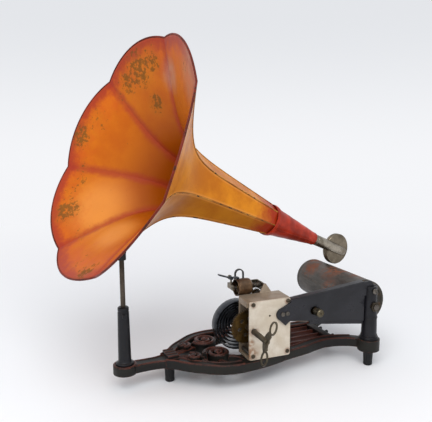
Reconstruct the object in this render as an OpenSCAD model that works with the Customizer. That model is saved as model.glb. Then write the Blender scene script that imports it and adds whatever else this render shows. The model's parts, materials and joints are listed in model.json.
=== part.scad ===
// Small open-works cylinder phonograph: a lyre-shaped cast base on three feet, a spring
// motor between two plates, a belt-driven tapered mandrel, and a seven-petal horn that
// swivels and tilts on a rod and carries a turning sound box.
// Millimetres, +Z up. The origin is the centre of the front foot's floor face, +X runs
// along the base from the horn's rod to the mandrel, and the mandrel's free end is at +Y.

/* [Base] */
// Height of the three feet, from the floor to the casting's underside
foot_h = 17; // [14:0.5:20]
// Radius of a foot at its top
foot_top_r = 5.4; // [4.5:0.1:6.5]
// Radius of a foot on the floor
foot_floor_r = 4.7; // [3.5:0.1:5.5]
// Radius of the stud that holds a foot in the casting
stud_r = 2.5; // [2:0.1:3]
// Thickness of the casting
base_t = 9; // [7:0.5:10]
// Height of the scrolls and the neck's block above the casting's top
relief_h = 3; // [2:0.5:3]
// Turn of the lyre's own axis away from +X, in degrees
lyre_turn = 2.6; // [2:0.2:4]
// Width of the lyre's belly between the middles of its two outer bands
belly_w = 86.5; // [84:0.5:90]
// Width of the cast band that the lyre is drawn with
band_w = 9.5; // [8:0.5:10]
// Number of strings on the lyre
strings = 4; // [3:1:5]
// Distance between the strings at the crossbar
string_pitch = 11.6; // [9:0.2:12]

/* [Horn stand] */
// Distance from the front foot back to the rod's axis
rod_back = 45; // [42:0.5:48]
// Radius of the horn's steel rod
rod_r = 2.35; // [2:0.05:3]
// Height of the tapered socket that holds the rod
socket_h = 57.5; // [50:0.5:62]
// Radius of the socket at its foot
socket_low_r = 6.3; // [5.5:0.1:7.5]
// Radius of the socket at its top
socket_top_r = 5.3; // [4.5:0.1:6]
// Height of the pin that the horn tilts on, above the floor
pivot_z = 140; // [136:0.5:143]
// Radius of the pin that the horn tilts on
pivot_r = 1.5; // [1.2:0.1:1.8]
// Thickness of the horn's lug between the fork's two ears
lug_t = 3.4; // [2.8:0.1:4]

/* [Horn] */
// Height of the mouth's centre above the floor
mouth_z = 225.6; // [224:0.2:228]
// Turn of the horn away from +X as it stands, in degrees
horn_yaw = 11.7; // [9:0.1:12]
// Slope of the horn's axis down to the mandrel, in degrees
horn_tilt = 24.1; // [23.5:0.1:25]
// Radius of the mouth at the notches between its petals
mouth_r = 114.5; // [110:0.5:118]
// How far a petal's tip stands forward of the notches
petal_lip = 10; // [6:0.5:12]
// Length of the bell from its notches to the neck ring
bell_l = 190; // [180:1:200]
// Radius of the bell's seams at the neck ring
neck_r = 16.2; // [14:0.2:18]
// Thickness of the horn's sheet
sheet_t = 1; // [0.8:0.1:1.5]
// Radius at the small end of the neck cone
cone_end_r = 7; // [6.8:0.1:8]
// Distance from the neck cone's small end to the sound box's centre
cone_back = 41.5; // [38:0.5:50]

/* [Sound box] */
// Radius of the sound box
box_r = 17.3; // [15:0.1:17.5]
// Depth of the sound box's case
box_d = 6; // [5.5:0.5:8]
// Distance from the mouth's notches to the sound box's centre
box_l = 301.5; // [298:0.5:305]
// Outer radius of the tube across the sound box's back
tube_r = 6.2; // [6:0.1:6.6]
// Thickness of the diaphragm
diaphragm_t = 0.5; // [0.3:0.1:0.8]
// Reach of the stylus from the horn's axis to a cylinder's surface
stylus_reach = 13.4; // [11:0.2:14]

/* [Mandrel] */
// Radius of the mandrel at its large end
mandrel_large_r = 23.2; // [22.8:0.1:23.6]
// Radius of the mandrel at its free end
mandrel_small_r = 20.8; // [20.4:0.1:21.2]
// Length of the mandrel with its belt rim
mandrel_l = 110; // [105:1:112]
// Thickness of the mandrel's sheet
mandrel_t = 1.2; // [1:0.1:2]
// Radius of the fixed spindle that the mandrel turns on
spindle_r = 3; // [2.5:0.1:3.5]
// Height of the spindle above the floor
spindle_z = 65.7; // [64:0.1:67]
// Distance from the front foot to the spindle's post
post_x = 205.2; // [203:0.2:208]
// Distance of the post from the X axis, towards the viewer
post_y = 41.4; // [40:0.2:42]
// Height of the post's top above the floor
post_top_z = 86; // [85:0.5:88]
// Radius of the post at its foot
post_low_r = 8.2; // [7.6:0.1:8.6]
// Radius of the post at its top
post_high_r = 6.8; // [6.4:0.1:7.2]

/* [Motor] */
// Distance from the front foot to the front plate's left edge
plate_x = 67.6; // [67:0.2:68]
// Distance of the front plate's face from the X axis, towards the viewer
plate_y = 42; // [41.5:0.1:42.5]
// Width of the motor's front plate
plate_w = 44; // [43:0.5:46]
// Height of the motor's front plate
plate_h = 58.6; // [58:0.2:60]
// Thickness of the motor's plates
plate_t = 1.6; // [1.2:0.1:2]
// Depth of the motor between the outer faces of its two plates
motor_d = 25.6; // [25.4:0.2:27]
// Radius of the four pillars between the plates
pillar_r = 2; // [1.7:0.1:2.2]
// Radius of the winding arbor at the front plate
arbor_r = 3; // [2.6:0.1:3.2]
// Distance that the winding key's hub stands out of the front plate
key_reach = 26; // [22:1:30]
// Height of the winding key's two loops above and below its stem
key_span = 14.5; // [13.5:0.5:17]
// Turns of the mainspring
spring_turns = 8; // [6:1:9]
// Thickness of the mainspring's steel
spring_t = 0.8; // [0.5:0.05:0.9]
// Width of the mainspring's steel
spring_w = 11; // [9:0.5:11]
// Radius of the mainspring's outer turn
spring_r = 26.6; // [24:0.2:27]

/* [Gears] */
// Module of the great wheel and its pinion
great_mod = 0.7; // [0.69:0.01:0.72]
// Teeth on the great wheel
great_teeth = 48; // [47:1:49]
// Teeth on the first pinion
pinion_teeth = 14; // [14:1:15]
// Module of the second wheel and its pinion
second_mod = 0.5; // [0.48:0.01:0.51]
// Teeth on the second wheel
second_teeth = 52; // [48:1:53]
// Teeth on the second pinion
second_pinion_teeth = 12; // [12:1:14]
// Module of the second arbor's rear wheel and the third pinion
rear_mod = 0.5; // [0.48:0.01:0.51]
// Teeth on the second arbor's rear wheel
rear_teeth = 36; // [34:1:37]
// Teeth on the third pinion
rear_pinion_teeth = 16; // [15:1:17]
// Module of the governor's wheel
governor_mod = 0.5; // [0.48:0.01:0.51]
// Teeth on the governor's wheel
governor_teeth = 20; // [19:1:21]
// Starts on the governor's worm
worm_starts = 4; // [3:1:6]
// Outer radius of the governor's worm
worm_r = 3.2; // [2.8:0.1:3.4]
// Teeth on the ratchet wheel
ratchet_teeth = 12; // [10:1:16]
// Radius of the ratchet wheel
ratchet_r = 8; // [7.5:0.1:8.5]

/* [Belt drive] */
// Radius of the small pulley, where the belt runs
pulley_r = 7; // [6.3:0.1:7.4]
// Radius of the mandrel's rim, where the belt runs
rim_r = 21; // [20:0.1:21.2]
// Thickness of the belt
belt_t = 1.4; // [1:0.1:1.6]
// Width of the belt
belt_w = 2.4; // [2:0.1:3]
// Distance from the front foot to the guide wheel's axis
guide_x = 141; // [138:1:146]
// Radius of the guide wheel under the arm plate's hub
guide_r = 11.2; // [10.4:0.1:11.6]
// Thickness of the arm plate between the motor and the post
arm_t = 2; // [1.6:0.1:2.4]

/* [Governor] */
// Distance of the governor's axis from the X axis, towards the viewer
gov_front = 10; // [9.6:0.1:10.4]
// Outer radius of the governor's cup
cup_r = 8.6; // [8:0.1:8.8]
// Length of the governor's cup
cup_l = 17; // [14:0.5:18]
// Length of the brake lever outside its hinge
lever_l = 14; // [10:0.5:18]

/* [Hidden] */
PETALS = 7;
$fn = 48;

// Radial gap of a running fit, gap between parts that only pass, and overlap in a joint
running = 0.05;
passing = 0.3;
weld = 0.4;
// Length of a cutting tool past the part that it cuts
through = 40;

base_top = foot_h + base_t;
front_y = -plate_y;
plate_z = base_top + 0.2;
plate_top = plate_z + plate_h;
back_y = front_y + motor_d;
inner_y0 = front_y + plate_t;
inner_y1 = back_y - plate_t;

// A point across the lyre's own axis, u along it and v to its left
function lyre(u, v) = [u * cos(lyre_turn) - v * sin(lyre_turn),
    u * sin(lyre_turn) + v * cos(lyre_turn)];
rod_at = lyre(-rod_back, 0);
post_at = [post_x, -post_y];
post_u = post_x * cos(lyre_turn) - post_y * sin(lyre_turn);
post_v = post_x * sin(lyre_turn) + post_y * cos(lyre_turn);
far_pad = lyre(post_u, post_v);
foot_points = [[0, 0], post_at, far_pad];

// Axes of the motor's arbors, in X and Z, each set from the one before it
arbor_at = [plate_x + 4.9, plate_z + 29.1];
stage1 = great_mod * (great_teeth + pinion_teeth) / 2;
stage1_dir = 39.6;
second_at = arbor_at + stage1 * [cos(stage1_dir), sin(stage1_dir)];
stage2 = second_mod * (second_teeth + second_pinion_teeth) / 2;
stage2_dir = -9.3;
third_at = second_at + [0, rear_mod * (rear_teeth + rear_pinion_teeth) / 2];
drive_at = second_at + stage2 * [cos(stage2_dir), sin(stage2_dir)];
spindle_at = [post_x, spindle_z];

// Planes of the moving parts along Y
rim_front_y = -post_y + post_low_r + 0.1;
rim_w = 4.6;
belt_y = rim_front_y + rim_w / 2;
shell_y = rim_front_y + rim_w;
mandrel_end_y = rim_front_y + mandrel_l;
second_y = inner_y0 + 1.4;
great_y = back_y - 10.8;
great_t = 2.2;
click_y = great_y + great_t + 0.2;
gov_y = -gov_front;
gov_wheel_t = 1.6;
rear_y = back_y + 1.8;
rear_t = 1.6;
spring_y = gov_y + gov_wheel_t / 2 + 0.8;

// Height of the governor's spindle: its worm just clears the wheel's teeth
addendum = 0.82;
dedendum = 1.12;
gov_tip = governor_mod * (governor_teeth / 2 + addendum);
worm_gap = 0.15;
gov_z = third_at[1] + gov_tip + worm_gap + worm_r;

// A smooth curve through the points p, n steps to a span
function spline_at(a, b, c, d, t) = 0.5 * (2 * b + (c - a) * t
    + (2 * a - 5 * b + 4 * c - d) * t ^ 2 + (3 * b - a - 3 * c + d) * t ^ 3);
function smooth(p, n) = concat([for (i = [0:len(p) - 2], k = [0:n - 1])
    spline_at(p[max(i - 1, 0)], p[i], p[i + 1], p[min(i + 2, len(p) - 1)], k / n)],
    [p[len(p) - 1]]);

// Outline of a band along the centre line s, whose points are [u, v, width]
function unit(a) = a / norm(a);
function across(s, i) = let (a = s[max(i - 1, 0)], b = s[min(i + 1, len(s) - 1)],
    d = unit([b[0] - a[0], b[1] - a[1]])) [-d[1], d[0]];
function side(s, i, sign) = [s[i][0], s[i][1]] + sign * across(s, i) * s[i][2] / 2;
function band(s) = concat([for (i = [0:len(s) - 1]) side(s, i, 1)],
    [for (i = [len(s) - 1:-1:0]) side(s, i, -1)]);
module flat_band(s, h, from = 0) {
    translate([0, 0, from]) linear_extrude(h - from) polygon(band(s));
}

// A scroll about the point c that winds inwards from r0 to r1, w0 wide to w1 wide
function scroll(c, r0, r1, from, turn, w0, w1) = [for (i = [0:30])
    let (f = i / 30, r = r0 + (r1 - r0) * f, a = from + turn * f)
    [c[0] + r * cos(a), c[1] + r * sin(a), w0 + (w1 - w0) * f]];

// Centre line of one half of the lyre, from the neck round the belly to the post's pad
half = belly_w / 2;
frame_line = [[-4, 5, band_w], [5, 11.5, band_w], [14, 21.5, band_w],
    [26, half - 12.5, band_w], [38, half - 4.3, band_w], [52, half, band_w],
    [68, half - 0.2, band_w], [84, half - 1.8, band_w], [98, half - 4.8, band_w],
    [110, half - 8, band_w], [123, half - 10.5, band_w + 0.5],
    [137, half - 13.3, band_w + 1.6], [150, half - 17, band_w + 1.6],
    [163, half - 19.3, band_w + 1.2], [176, half - 17.5, band_w + 1],
    [186, half - 14, band_w + 1], [195, half - 9, band_w + 1],
    [post_u, post_v - 8, band_w + 1]];
scroll_at = [44, 17.5];
curl_at = [20, 15];
pad_r = 11.4;
bar_u = 174.5;
rail_u = 112;
rail_w = 7;

// The casting's levels: each kind of rib has its own height and its own underside
frame_t = base_t - 0.4;
stem_t = base_t - 0.9;
leaf_t = base_t - 1.4;
string_t = base_t - 1.8;
bar_t = base_t - 0.2;
scroll_t = base_t + relief_h;
hollow = 1;

module lyre_half() {
    flat_band(smooth(frame_line, 4), frame_t);
    // The belly's great scroll, with its eye and the stem that it grows from
    flat_band(scroll(scroll_at, 12.6, 4, 190, 560, 5, 3.4), scroll_t, hollow);
    translate([scroll_at[0], scroll_at[1], hollow * 1.5]) cylinder(r = 3, h = scroll_t
        - hollow);
    flat_band(smooth([[0, 3, 6], [10, 6, 6], [20, 8, 5.4], [32, 13, 5]], 4), stem_t,
        hollow / 2);
    // The small curl beside the neck
    flat_band(scroll(curl_at, 7, 2.4, -100, 420, 4, 3), scroll_t - 0.3, hollow);
    translate([curl_at[0], curl_at[1], hollow * 1.5]) cylinder(r = 2.4, h = scroll_t
        - hollow);
    // Leaves that tie the scroll to the belly, and the stem that runs back to the rail
    flat_band(smooth([[30, 20, 6], [27, 26, 7], [26, 31, 4]], 4), leaf_t, hollow * 2);
    flat_band(smooth([[42, 28, 6], [44, 35, 8], [50, 41, 5]], 4), leaf_t, hollow * 2);
    flat_band(smooth([[54, 22, 5], [64, 27, 5], [74, 26, 5], [86, 21, 5],
        [rail_u, 17, 5]], 4), stem_t, hollow / 2);
    flat_band(smooth([[64, 27, 4], [68, 34, 5], [76, 40, 4]], 4), leaf_t, hollow * 2);
    translate([post_u, post_v, 0]) cylinder(r = pad_r, h = scroll_t);
}

module lyre_base() {
    bar_half = half - 17;
    rail_half = half - 6;
    color("#241f1e") difference() {
        union() {
            translate([0, 0, foot_h]) rotate([0, 0, lyre_turn]) {
                for (s = [0, 1]) mirror([0, s, 0]) lyre_half();
                // The neck and its raised block over the front foot
                flat_band(smooth([[-rod_back + 4, 0, 15], [-26, 0, 12.5], [-12, 0, 13.5],
                    [0, 0, 20], [12, 0, 14], [24, 0, 4]], 5), base_t - 1.6);
                translate([-4, -9, hollow]) cube([11, 18, scroll_t - hollow - 0.2]);
                // The rail and the crossbar that the strings run between
                translate([rail_u - rail_w / 2, -rail_half, hollow / 4])
                    cube([rail_w, 2 * rail_half, bar_t - hollow / 4]);
                translate([bar_u - rail_w / 2, -bar_half, hollow / 4])
                    cube([rail_w, 2 * bar_half, bar_t - hollow / 4]);
                for (i = [0:strings - 1]) translate([bar_u + rail_w / 2 - weld,
                    string_v(i), base_t - 2.2]) rotate([0, 90, 0]) cylinder(r = 1.4, h = 5);
            }
            translate([rod_at[0], rod_at[1], foot_h]) cylinder(r = 11.4, h = base_t - 0.5);
            // The flat bed under the motor's frame
            translate([plate_x + 3, front_y + 6, foot_h + hollow * 1.2])
                cube([plate_w - 4, motor_d - 6.5, base_t - hollow * 1.2 - running]);
        }
        for (p = foot_points) translate([p[0], p[1], foot_h - 1])
            cylinder(r = stud_r + running, h = stud_l + 1.5);
        for (p = frame_screw_at) translate([p[0], p[1], foot_h - 1])
            cylinder(r = frame_screw_r + running, h = base_t + 2);
        translate([post_at[0], post_at[1], foot_h + post_peg_z])
            cylinder(r = post_peg_r + running, h = base_t);
        translate([rod_at[0], rod_at[1], base_top - 5.5])
            cylinder(r = socket_peg_r + running, h = 9);
    }
}

function string_v(i) = (i - (strings - 1) / 2) * string_pitch;

// The strings are bars let in between the rail and the crossbar
module lyre_strings() {
    end = rail_w / 2 + 0.1;
    color("#3a2622") translate([0, 0, foot_h]) rotate([0, 0, lyre_turn])
        for (i = [0:strings - 1])
            flat_band([[rail_u + end, string_v(i) * 0.94, 3.2],
                [bar_u - end, string_v(i), 2.6]], string_t, hollow * 2);
}

stud_l = 4;
post_peg_r = 4;
post_peg_z = 6;
socket_peg_r = 3.2;

module feet() {
    color("#1d1b1c") for (p = foot_points) translate(p) {
        cylinder(r1 = foot_floor_r - 0.8, r2 = foot_floor_r, h = 0.8);
        translate([0, 0, 0.79]) cylinder(r1 = foot_floor_r, r2 = foot_top_r, h = foot_h - 0.79);
        translate([0, 0, foot_h - weld]) cylinder(r = stud_r, h = stud_l + weld);
    }
}

socket_z = base_top - 0.5;
rod_screw_z = socket_z + socket_h - 8;
rod_screw_r = 1.2;

module horn_socket() {
    color("#27272a") translate([rod_at[0], rod_at[1], 0]) difference() {
        union() {
            translate([0, 0, socket_z]) cylinder(r = socket_low_r + 2.2, h = 2.2);
            translate([0, 0, socket_z]) cylinder(r1 = socket_low_r, r2 = socket_top_r,
                h = socket_h);
            translate([0, 0, socket_z - 4.5]) cylinder(r = socket_peg_r, h = 5);
        }
        translate([0, 0, socket_z + 12]) cylinder(r = rod_r + running, h = socket_h);
        translate([0, 0, rod_screw_z]) rotate([90, 0, 0])
            cylinder(r = rod_screw_r + running, h = 12);
    }
}

fork_z = pivot_z - 11.5;
fork_bore_l = 7;

module support_rod() {
    low = socket_z + 12;
    color("#6f6a64") translate([rod_at[0], rod_at[1], low])
        cylinder(r = rod_r, h = fork_z + fork_bore_l - 0.1 - low);
}

module rod_screw() {
    color("#3a3836") translate([rod_at[0], rod_at[1] - rod_r - running, rod_screw_z])
        rotate([90, 0, 0]) {
            cylinder(r = rod_screw_r, h = socket_top_r - rod_r + 1.4);
            translate([0, 0, socket_top_r - rod_r + 0.6]) cylinder(r = 2.4, h = 1.6);
        }
}

// Places children at the tilting pin, turned with the horn
module at_pivot() {
    translate([rod_at[0], rod_at[1], pivot_z]) rotate([0, 0, horn_yaw]) children();
}
ear_t = 2;
ear_gap = lug_t / 2 + 0.15;
lug_r = 3.2;

module swivel_fork() {
    color("#3d3a38") at_pivot() difference() {
        union() {
            translate([0, 0, fork_z - pivot_z]) cylinder(r = rod_r + 1.9, h = fork_bore_l + 1);
            translate([-lug_r, -ear_gap - ear_t, -5]) cube([2 * lug_r, 2 * (ear_gap + ear_t),
                1.5]);
            for (s = [0, 1]) mirror([0, s, 0]) {
                translate([-lug_r, ear_gap, -5]) cube([2 * lug_r, ear_t, 5]);
                translate([0, ear_gap, 0]) rotate([-90, 0, 0]) cylinder(r = lug_r, h = ear_t);
            }
        }
        translate([0, 0, fork_z - pivot_z - 1]) cylinder(r = rod_r + running,
            h = fork_bore_l + 1);
        rotate([90, 0, 0]) cylinder(r = pivot_r + running, h = 20, center = true);
    }
}

module tilt_pin() {
    reach = ear_gap + ear_t;
    color("#8c8780") at_pivot() rotate([90, 0, 0]) {
        translate([0, 0, -reach - 0.6]) cylinder(r = pivot_r, h = 2 * reach + 0.6);
        translate([0, 0, reach]) cylinder(r = pivot_r + 1.2, h = 1.4);
    }
}

// Places children in the horn's own frame: its axis is +X, from the mouth to the neck
module at_horn() {
    translate([rod_at[0], rod_at[1], mouth_z]) rotate([0, 0, horn_yaw])
        rotate([0, horn_tilt, 0]) children();
}

// The tilting pin in that frame, along the axis and above it
drop = mouth_z - pivot_z;
pivot_t = drop * sin(horn_tilt);
pivot_h = -drop * cos(horn_tilt);

// Radius of the bell along a seam at the distance t from the notches: a straight neck
// that blends into a straight flare
flare_slope = 1.47;
flare_soft = 14;
neck_slope = 0.133;
flare_from = (mouth_r - neck_r - neck_slope * bell_l) / flare_slope;
function seam_r(t) = neck_r + neck_slope * (bell_l - t)
    + flare_slope * flare_soft * ln(1 + exp((flare_from - t) / flare_soft));
function seam_slope(t) = neck_slope + flare_slope / (1 + exp((t - flare_from) / flare_soft));

// Panels are flat across, so a panel's middle lies nearer the axis than its seams
panel = 360 / PETALS;
seam_phase = -2.8;
function flat_f(a) = cos(panel / 2) / cos(a - panel / 2);
function panel_r(t, a) = seam_r(t) * flat_f(a);
function lip(a) = let (x = abs(a / panel * 2 - 1)) -petal_lip * max(0, 1 - x ^ 2) ^ 0.75;

bell_rows = 16;
panel_cols = 8;
row_crowd = 1.4;
function bell_t(i, a) = lip(a) + (bell_l - lip(a)) * (i / bell_rows) ^ row_crowd;
function bell_point(k, i, j, off) = let (a = j * panel / panel_cols, t = bell_t(i, a),
    phi = seam_phase + k * panel + a,
    r = panel_r(t, a) - off * sqrt(1 + seam_slope(t) ^ 2))
    [t, r * sin(phi), r * cos(phi)];

// One gore of the bell, a thin shell of triangles between two seams
module horn_panel(k) {
    n = panel_cols + 1;
    s = (bell_rows + 1) * n;
    points = [for (off = [0, sheet_t], i = [0:bell_rows], j = [0:panel_cols])
        bell_point(k, i, j, off)];
    walls = [for (i = [0:bell_rows - 1], j = [0:panel_cols - 1])
        let (a = i * n + j, b = a + 1, c = a + n, d = c + 1)
        each [[a, b, d], [a, d, c], [a + s, d + s, b + s], [a + s, c + s, d + s]]];
    last = bell_rows * n;
    rims = [for (j = [0:panel_cols - 1])
        each [[j, j + s, j + s + 1], [j, j + s + 1, j + 1],
            [last + j, last + j + 1, last + j + s + 1],
            [last + j, last + j + s + 1, last + j + s]]];
    edges = [for (i = [0:bell_rows - 1])
        let (a = i * n, c = a + n, b = a + panel_cols, d = b + n)
        each [[a, c, c + s], [a, c + s, a + s], [d, b, b + s], [d, b + s, d + s]]];
    color("#d9791e") at_horn() polyhedron(points, concat(walls, rims, edges), 4);
}

module along_horn(t) {
    translate([t, 0, 0]) rotate([0, 90, 0]) children();
}

ring_w = 6;
cone_start = bell_l + 0.05;
cone_end_l = box_l - cone_back;
spigot_r = cone_end_r - 1.6;
spigot_l = 10;

module horn_ring() {
    fit = 0.15;
    wide = seam_r(bell_l - ring_w / 2) + fit;
    color("#b8452a") at_horn() along_horn(bell_l) rotate_extrude()
        polygon([[wide, -ring_w / 2], [wide + 0.9, -ring_w / 2], [neck_r + 2.1, 0],
            [neck_r + 1.2, ring_w / 2], [neck_r + fit, ring_w / 2], [neck_r + fit, 0]]);
}

module horn_cone() {
    l = cone_end_l - cone_start;
    color("#a8321f") at_horn() along_horn(cone_start) difference() {
        union() {
            cylinder(r = neck_r + 0.1, h = ring_w / 2);
            cylinder(r1 = neck_r, r2 = cone_end_r, h = l);
            translate([0, 0, l - weld]) cylinder(r = spigot_r, h = spigot_l + weld);
        }
        translate([0, 0, -0.01]) cylinder(r1 = neck_r - sheet_t - 1.5, r2 = spigot_r - 1.4,
            h = l + 0.02);
        translate([0, 0, l - 0.01]) cylinder(r = spigot_r - 1.4, h = spigot_l + 1);
    }
}

// The bell's lowest panel, and how far its middle lies round from straight below
low_panel = 180 - seam_phase - panel * (floor(PETALS / 2) + 0.5);

module horn_bracket() {
    // The straight run of the panel's middle that the lug stands under
    tip = lip(panel / 2);
    row = floor(bell_rows * ((pivot_t - tip) / (bell_l - tip)) ^ (1 / row_crowd));
    t0 = bell_t(row, panel / 2);
    t1 = bell_t(row + 1, panel / 2);
    slope = (panel_r(t0, panel / 2) - panel_r(t1, panel / 2)) / (t1 - t0);
    mid_r = panel_r(t0, panel / 2) - slope * (pivot_t - t0);
    neck = 2.6;
    sunk = 0.7;
    fit = 0.25;
    color("#8a4a22") at_horn() difference() {
        union() {
            translate([pivot_t, 0, pivot_h]) rotate([90, 0, 0])
                cylinder(r = lug_r - 0.1, h = lug_t, center = true);
            translate([0, lug_t / 2, 0]) rotate([90, 0, 0]) linear_extrude(lug_t)
                polygon([[pivot_t - neck, pivot_h],
                    [pivot_t - neck, -mid_r - sunk - neck * slope],
                    [pivot_t + neck, -mid_r - sunk + neck * slope],
                    [pivot_t + neck, pivot_h]]);
            // The foot that lies against the bell's lowest panel
            rotate([low_panel, 0, 0]) translate([pivot_t, 0, -mid_r])
                rotate([0, -atan(slope), 0]) translate([-5, -8.5, -1.6 - fit])
                cube([10, 12, 1.6]);
        }
        translate([pivot_t, 0, pivot_h]) rotate([90, 0, 0])
            cylinder(r = pivot_r + running, h = 20, center = true);
    }
}

// Places children at the sound box: +Z is the box's axis, towards the far side
module at_box() {
    at_horn() translate([box_l, 0, 0]) rotate([-90, 0, 0]) children();
}
box_back = -1.4;
case_t = 1.6;
bezel_r = box_r - 2;
bezel_z = box_back + case_t;
gasket_t = 1.4;
disc_z = bezel_z + gasket_t + 0.02;
ring_z = disc_z + diaphragm_t + 0.02;

module sound_tube() {
    start = cone_end_l + passing;
    cut = box_l - box_r - 0.1;
    tail = box_l + 12;
    end_r = tube_r - 0.6;
    color("#9c9488") at_horn() difference() {
        union() {
            along_horn(start) cylinder(r = tube_r, h = cut - start);
            along_horn(cut - 0.01) cylinder(r1 = tube_r, r2 = end_r, h = tail - end_r - cut);
            translate([tail - end_r, 0, 0]) sphere(r = end_r);
        }
        along_horn(start - 1) cylinder(r = spigot_r + running, h = spigot_l + 2);
        along_horn(start) cylinder(r = spigot_r - 1.6, h = box_l + 3 - start);
        translate([cut, box_back, -10]) cube([2 * box_r, 20, 20]);
    }
}

module sound_box() {
    color("#a39a8c") at_box() difference() {
        union() {
            translate([0, 0, box_back]) cylinder(r1 = box_r - 0.9, r2 = box_r, h = 0.9);
            translate([0, 0, box_back + 0.89]) cylinder(r = box_r, h = box_d - 1.8);
            translate([0, 0, box_back + box_d - 0.92]) cylinder(r1 = box_r, r2 = box_r - 0.9,
                h = 0.92);
        }
        translate([0, 0, bezel_z]) cylinder(r = bezel_r, h = box_d);
        translate([0, 0, box_back - 1]) cylinder(r = 3.2, h = 5);
    }
}

module box_gasket() {
    color("#6d2f26") at_box() translate([0, 0, bezel_z]) difference() {
        cylinder(r = bezel_r - running, h = gasket_t);
        translate([0, 0, -1]) cylinder(r = bezel_r - 2.2, h = gasket_t + 2);
    }
}

module diaphragm() {
    color("#cfc7b4") at_box() translate([0, 0, disc_z])
        cylinder(r = bezel_r - 0.1, h = diaphragm_t);
}

module clamp_ring() {
    h = box_back + box_d - 0.2 - ring_z;
    color("#8f8779") at_box() translate([0, 0, ring_z]) difference() {
        cylinder(r = bezel_r - running, h = h);
        translate([0, 0, -1]) cylinder(r = bezel_r - 2.4, h = h + 2);
    }
}

module stylus() {
    ball = 0.8;
    color("#d8d2c4") at_box() translate([0, 0, ring_z]) {
        cylinder(r = 2.4, h = 0.8);
        translate([0, 0, 0.7]) cylinder(r1 = 1.5, r2 = 0.8, h = stylus_reach - ring_z - 0.7
            - ball);
        translate([0, 0, stylus_reach - ring_z - ball]) sphere(r = ball, $fn = 24);
    }
}

// The post is slotted down from its top for the arm plate, and a screw clamps the slot
post_z = base_top + relief_h;
arm_y = front_y - arm_t / 2;
slot_w = arm_t + 2 * running;
slot_z = post_top_z - 9.5;
clamp_z = post_top_z - 4.4;
clamp_r = 1.6;

module rear_post() {
    color("#26262b") difference() {
        union() {
            translate([post_at[0], post_at[1], post_z]) {
                cylinder(r1 = post_low_r, r2 = post_high_r, h = post_top_z - post_z);
                cylinder(r = post_low_r + 1.2, h = 1.8);
            }
            translate([post_at[0], post_at[1], foot_h + post_peg_z + 0.1])
                cylinder(r = post_peg_r, h = post_z - foot_h - post_peg_z);
        }
        translate([post_x - 20, arm_y - slot_w / 2, slot_z]) cube([40, slot_w, 20]);
        translate([post_x, 0, spindle_z]) rotate([90, 0, 0])
            cylinder(r = spindle_r + running, h = 2 * post_y);
        translate([post_x, 0, clamp_z]) rotate([90, 0, 0])
            cylinder(r = clamp_r + running, h = 2 * post_y);
    }
}

nut_t = 3;
nut_r = 5.2;
front_nut_y = -post_y - post_low_r - nut_t + 0.8;
spindle_front_y = front_nut_y - 1;

module spindle() {
    color("#8d8982") translate([post_x, spindle_front_y, spindle_z]) rotate([-90, 0, 0])
        cylinder(r = spindle_r, h = mandrel_end_y + passing + nut_t + 0.8 - spindle_front_y);
}

module spindle_nuts() {
    color("#a7a196") for (y = [front_nut_y, mandrel_end_y + passing])
        translate([post_x, y, spindle_z]) rotate([-90, 0, 0]) difference() {
            cylinder(r = nut_r, h = nut_t, $fn = 6);
            translate([0, 0, -1]) cylinder(r = spindle_r + 0.02, h = nut_t + 2);
        }
}

hub_r = 6.5;
function mandrel_r(y) = mandrel_large_r + (mandrel_small_r - mandrel_large_r)
    * (y - rim_front_y) / mandrel_l;
shell_r = mandrel_r(shell_y);

// Places children on the mandrel's axis at y, with +Z towards the free end
module on_spindle(y) {
    translate([post_x, y, spindle_z]) rotate([-90, 0, 0]) children();
}

module mandrel_shell() {
    l = mandrel_end_y - shell_y;
    color("#8b7d72") on_spindle(shell_y) difference() {
        union() {
            cylinder(r1 = shell_r, r2 = mandrel_small_r, h = l - 1.5, $fn = 72);
            translate([0, 0, l - 1.51]) cylinder(r1 = mandrel_small_r,
                r2 = mandrel_small_r - 0.9, h = 1.51, $fn = 72);
        }
        translate([0, 0, -0.01]) cylinder(r1 = shell_r - mandrel_t,
            r2 = mandrel_small_r - mandrel_t, h = l + 0.02, $fn = 72);
    }
}

module mandrel_rim() {
    color("#867d74") on_spindle(rim_front_y) difference() {
        union() {
            cylinder(r = mandrel_large_r - 0.5, h = 0.6, $fn = 72);
            translate([0, 0, 0.5]) cylinder(r = mandrel_large_r, h = 0.6, $fn = 72);
            cylinder(r = rim_r, h = rim_w, $fn = 72);
            translate([0, 0, rim_w - 1]) cylinder(r = shell_r, h = 1, $fn = 72);
            translate([0, 0, rim_w - 0.1]) cylinder(r = shell_r - mandrel_t - 0.1, h = 3,
                $fn = 72);
            cylinder(r = hub_r, h = 14);
        }
        // Turned rings on the face
        for (r = [11, 15.5, 19]) translate([0, 0, -1]) difference() {
            cylinder(r = r + 0.6, h = 1.6, $fn = 72);
            translate([0, 0, -1]) cylinder(r = r - 0.6, h = 4, $fn = 72);
        }
        translate([0, 0, -1]) cylinder(r = spindle_r + running, h = 20);
        // The inside is turned out behind a thin web
        translate([0, 0, 2.4]) difference() {
            cylinder(r = rim_r - 2.4, h = 20, $fn = 72);
            translate([0, 0, -1]) cylinder(r = hub_r, h = 30);
        }
    }
}

cap_in = 2.4;
cap_t = 2.2;
module mandrel_cap() {
    color("#7d746b") on_spindle(mandrel_end_y - cap_in - cap_t) difference() {
        union() {
            cylinder(r = mandrel_small_r - mandrel_t - 0.02, h = cap_t, $fn = 72);
            translate([0, 0, -8]) cylinder(r = hub_r, h = 8 + cap_t + cap_in);
        }
        translate([0, 0, -9]) cylinder(r = spindle_r + running, h = 20);
    }
}

// Stands each flat drawing in X and Z, from y0 towards the viewer
module upright(y0, h) {
    for (i = [0:$children - 1])
        translate([0, y0, 0]) rotate([90, 0, 0]) linear_extrude(h) children(i);
}
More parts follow.
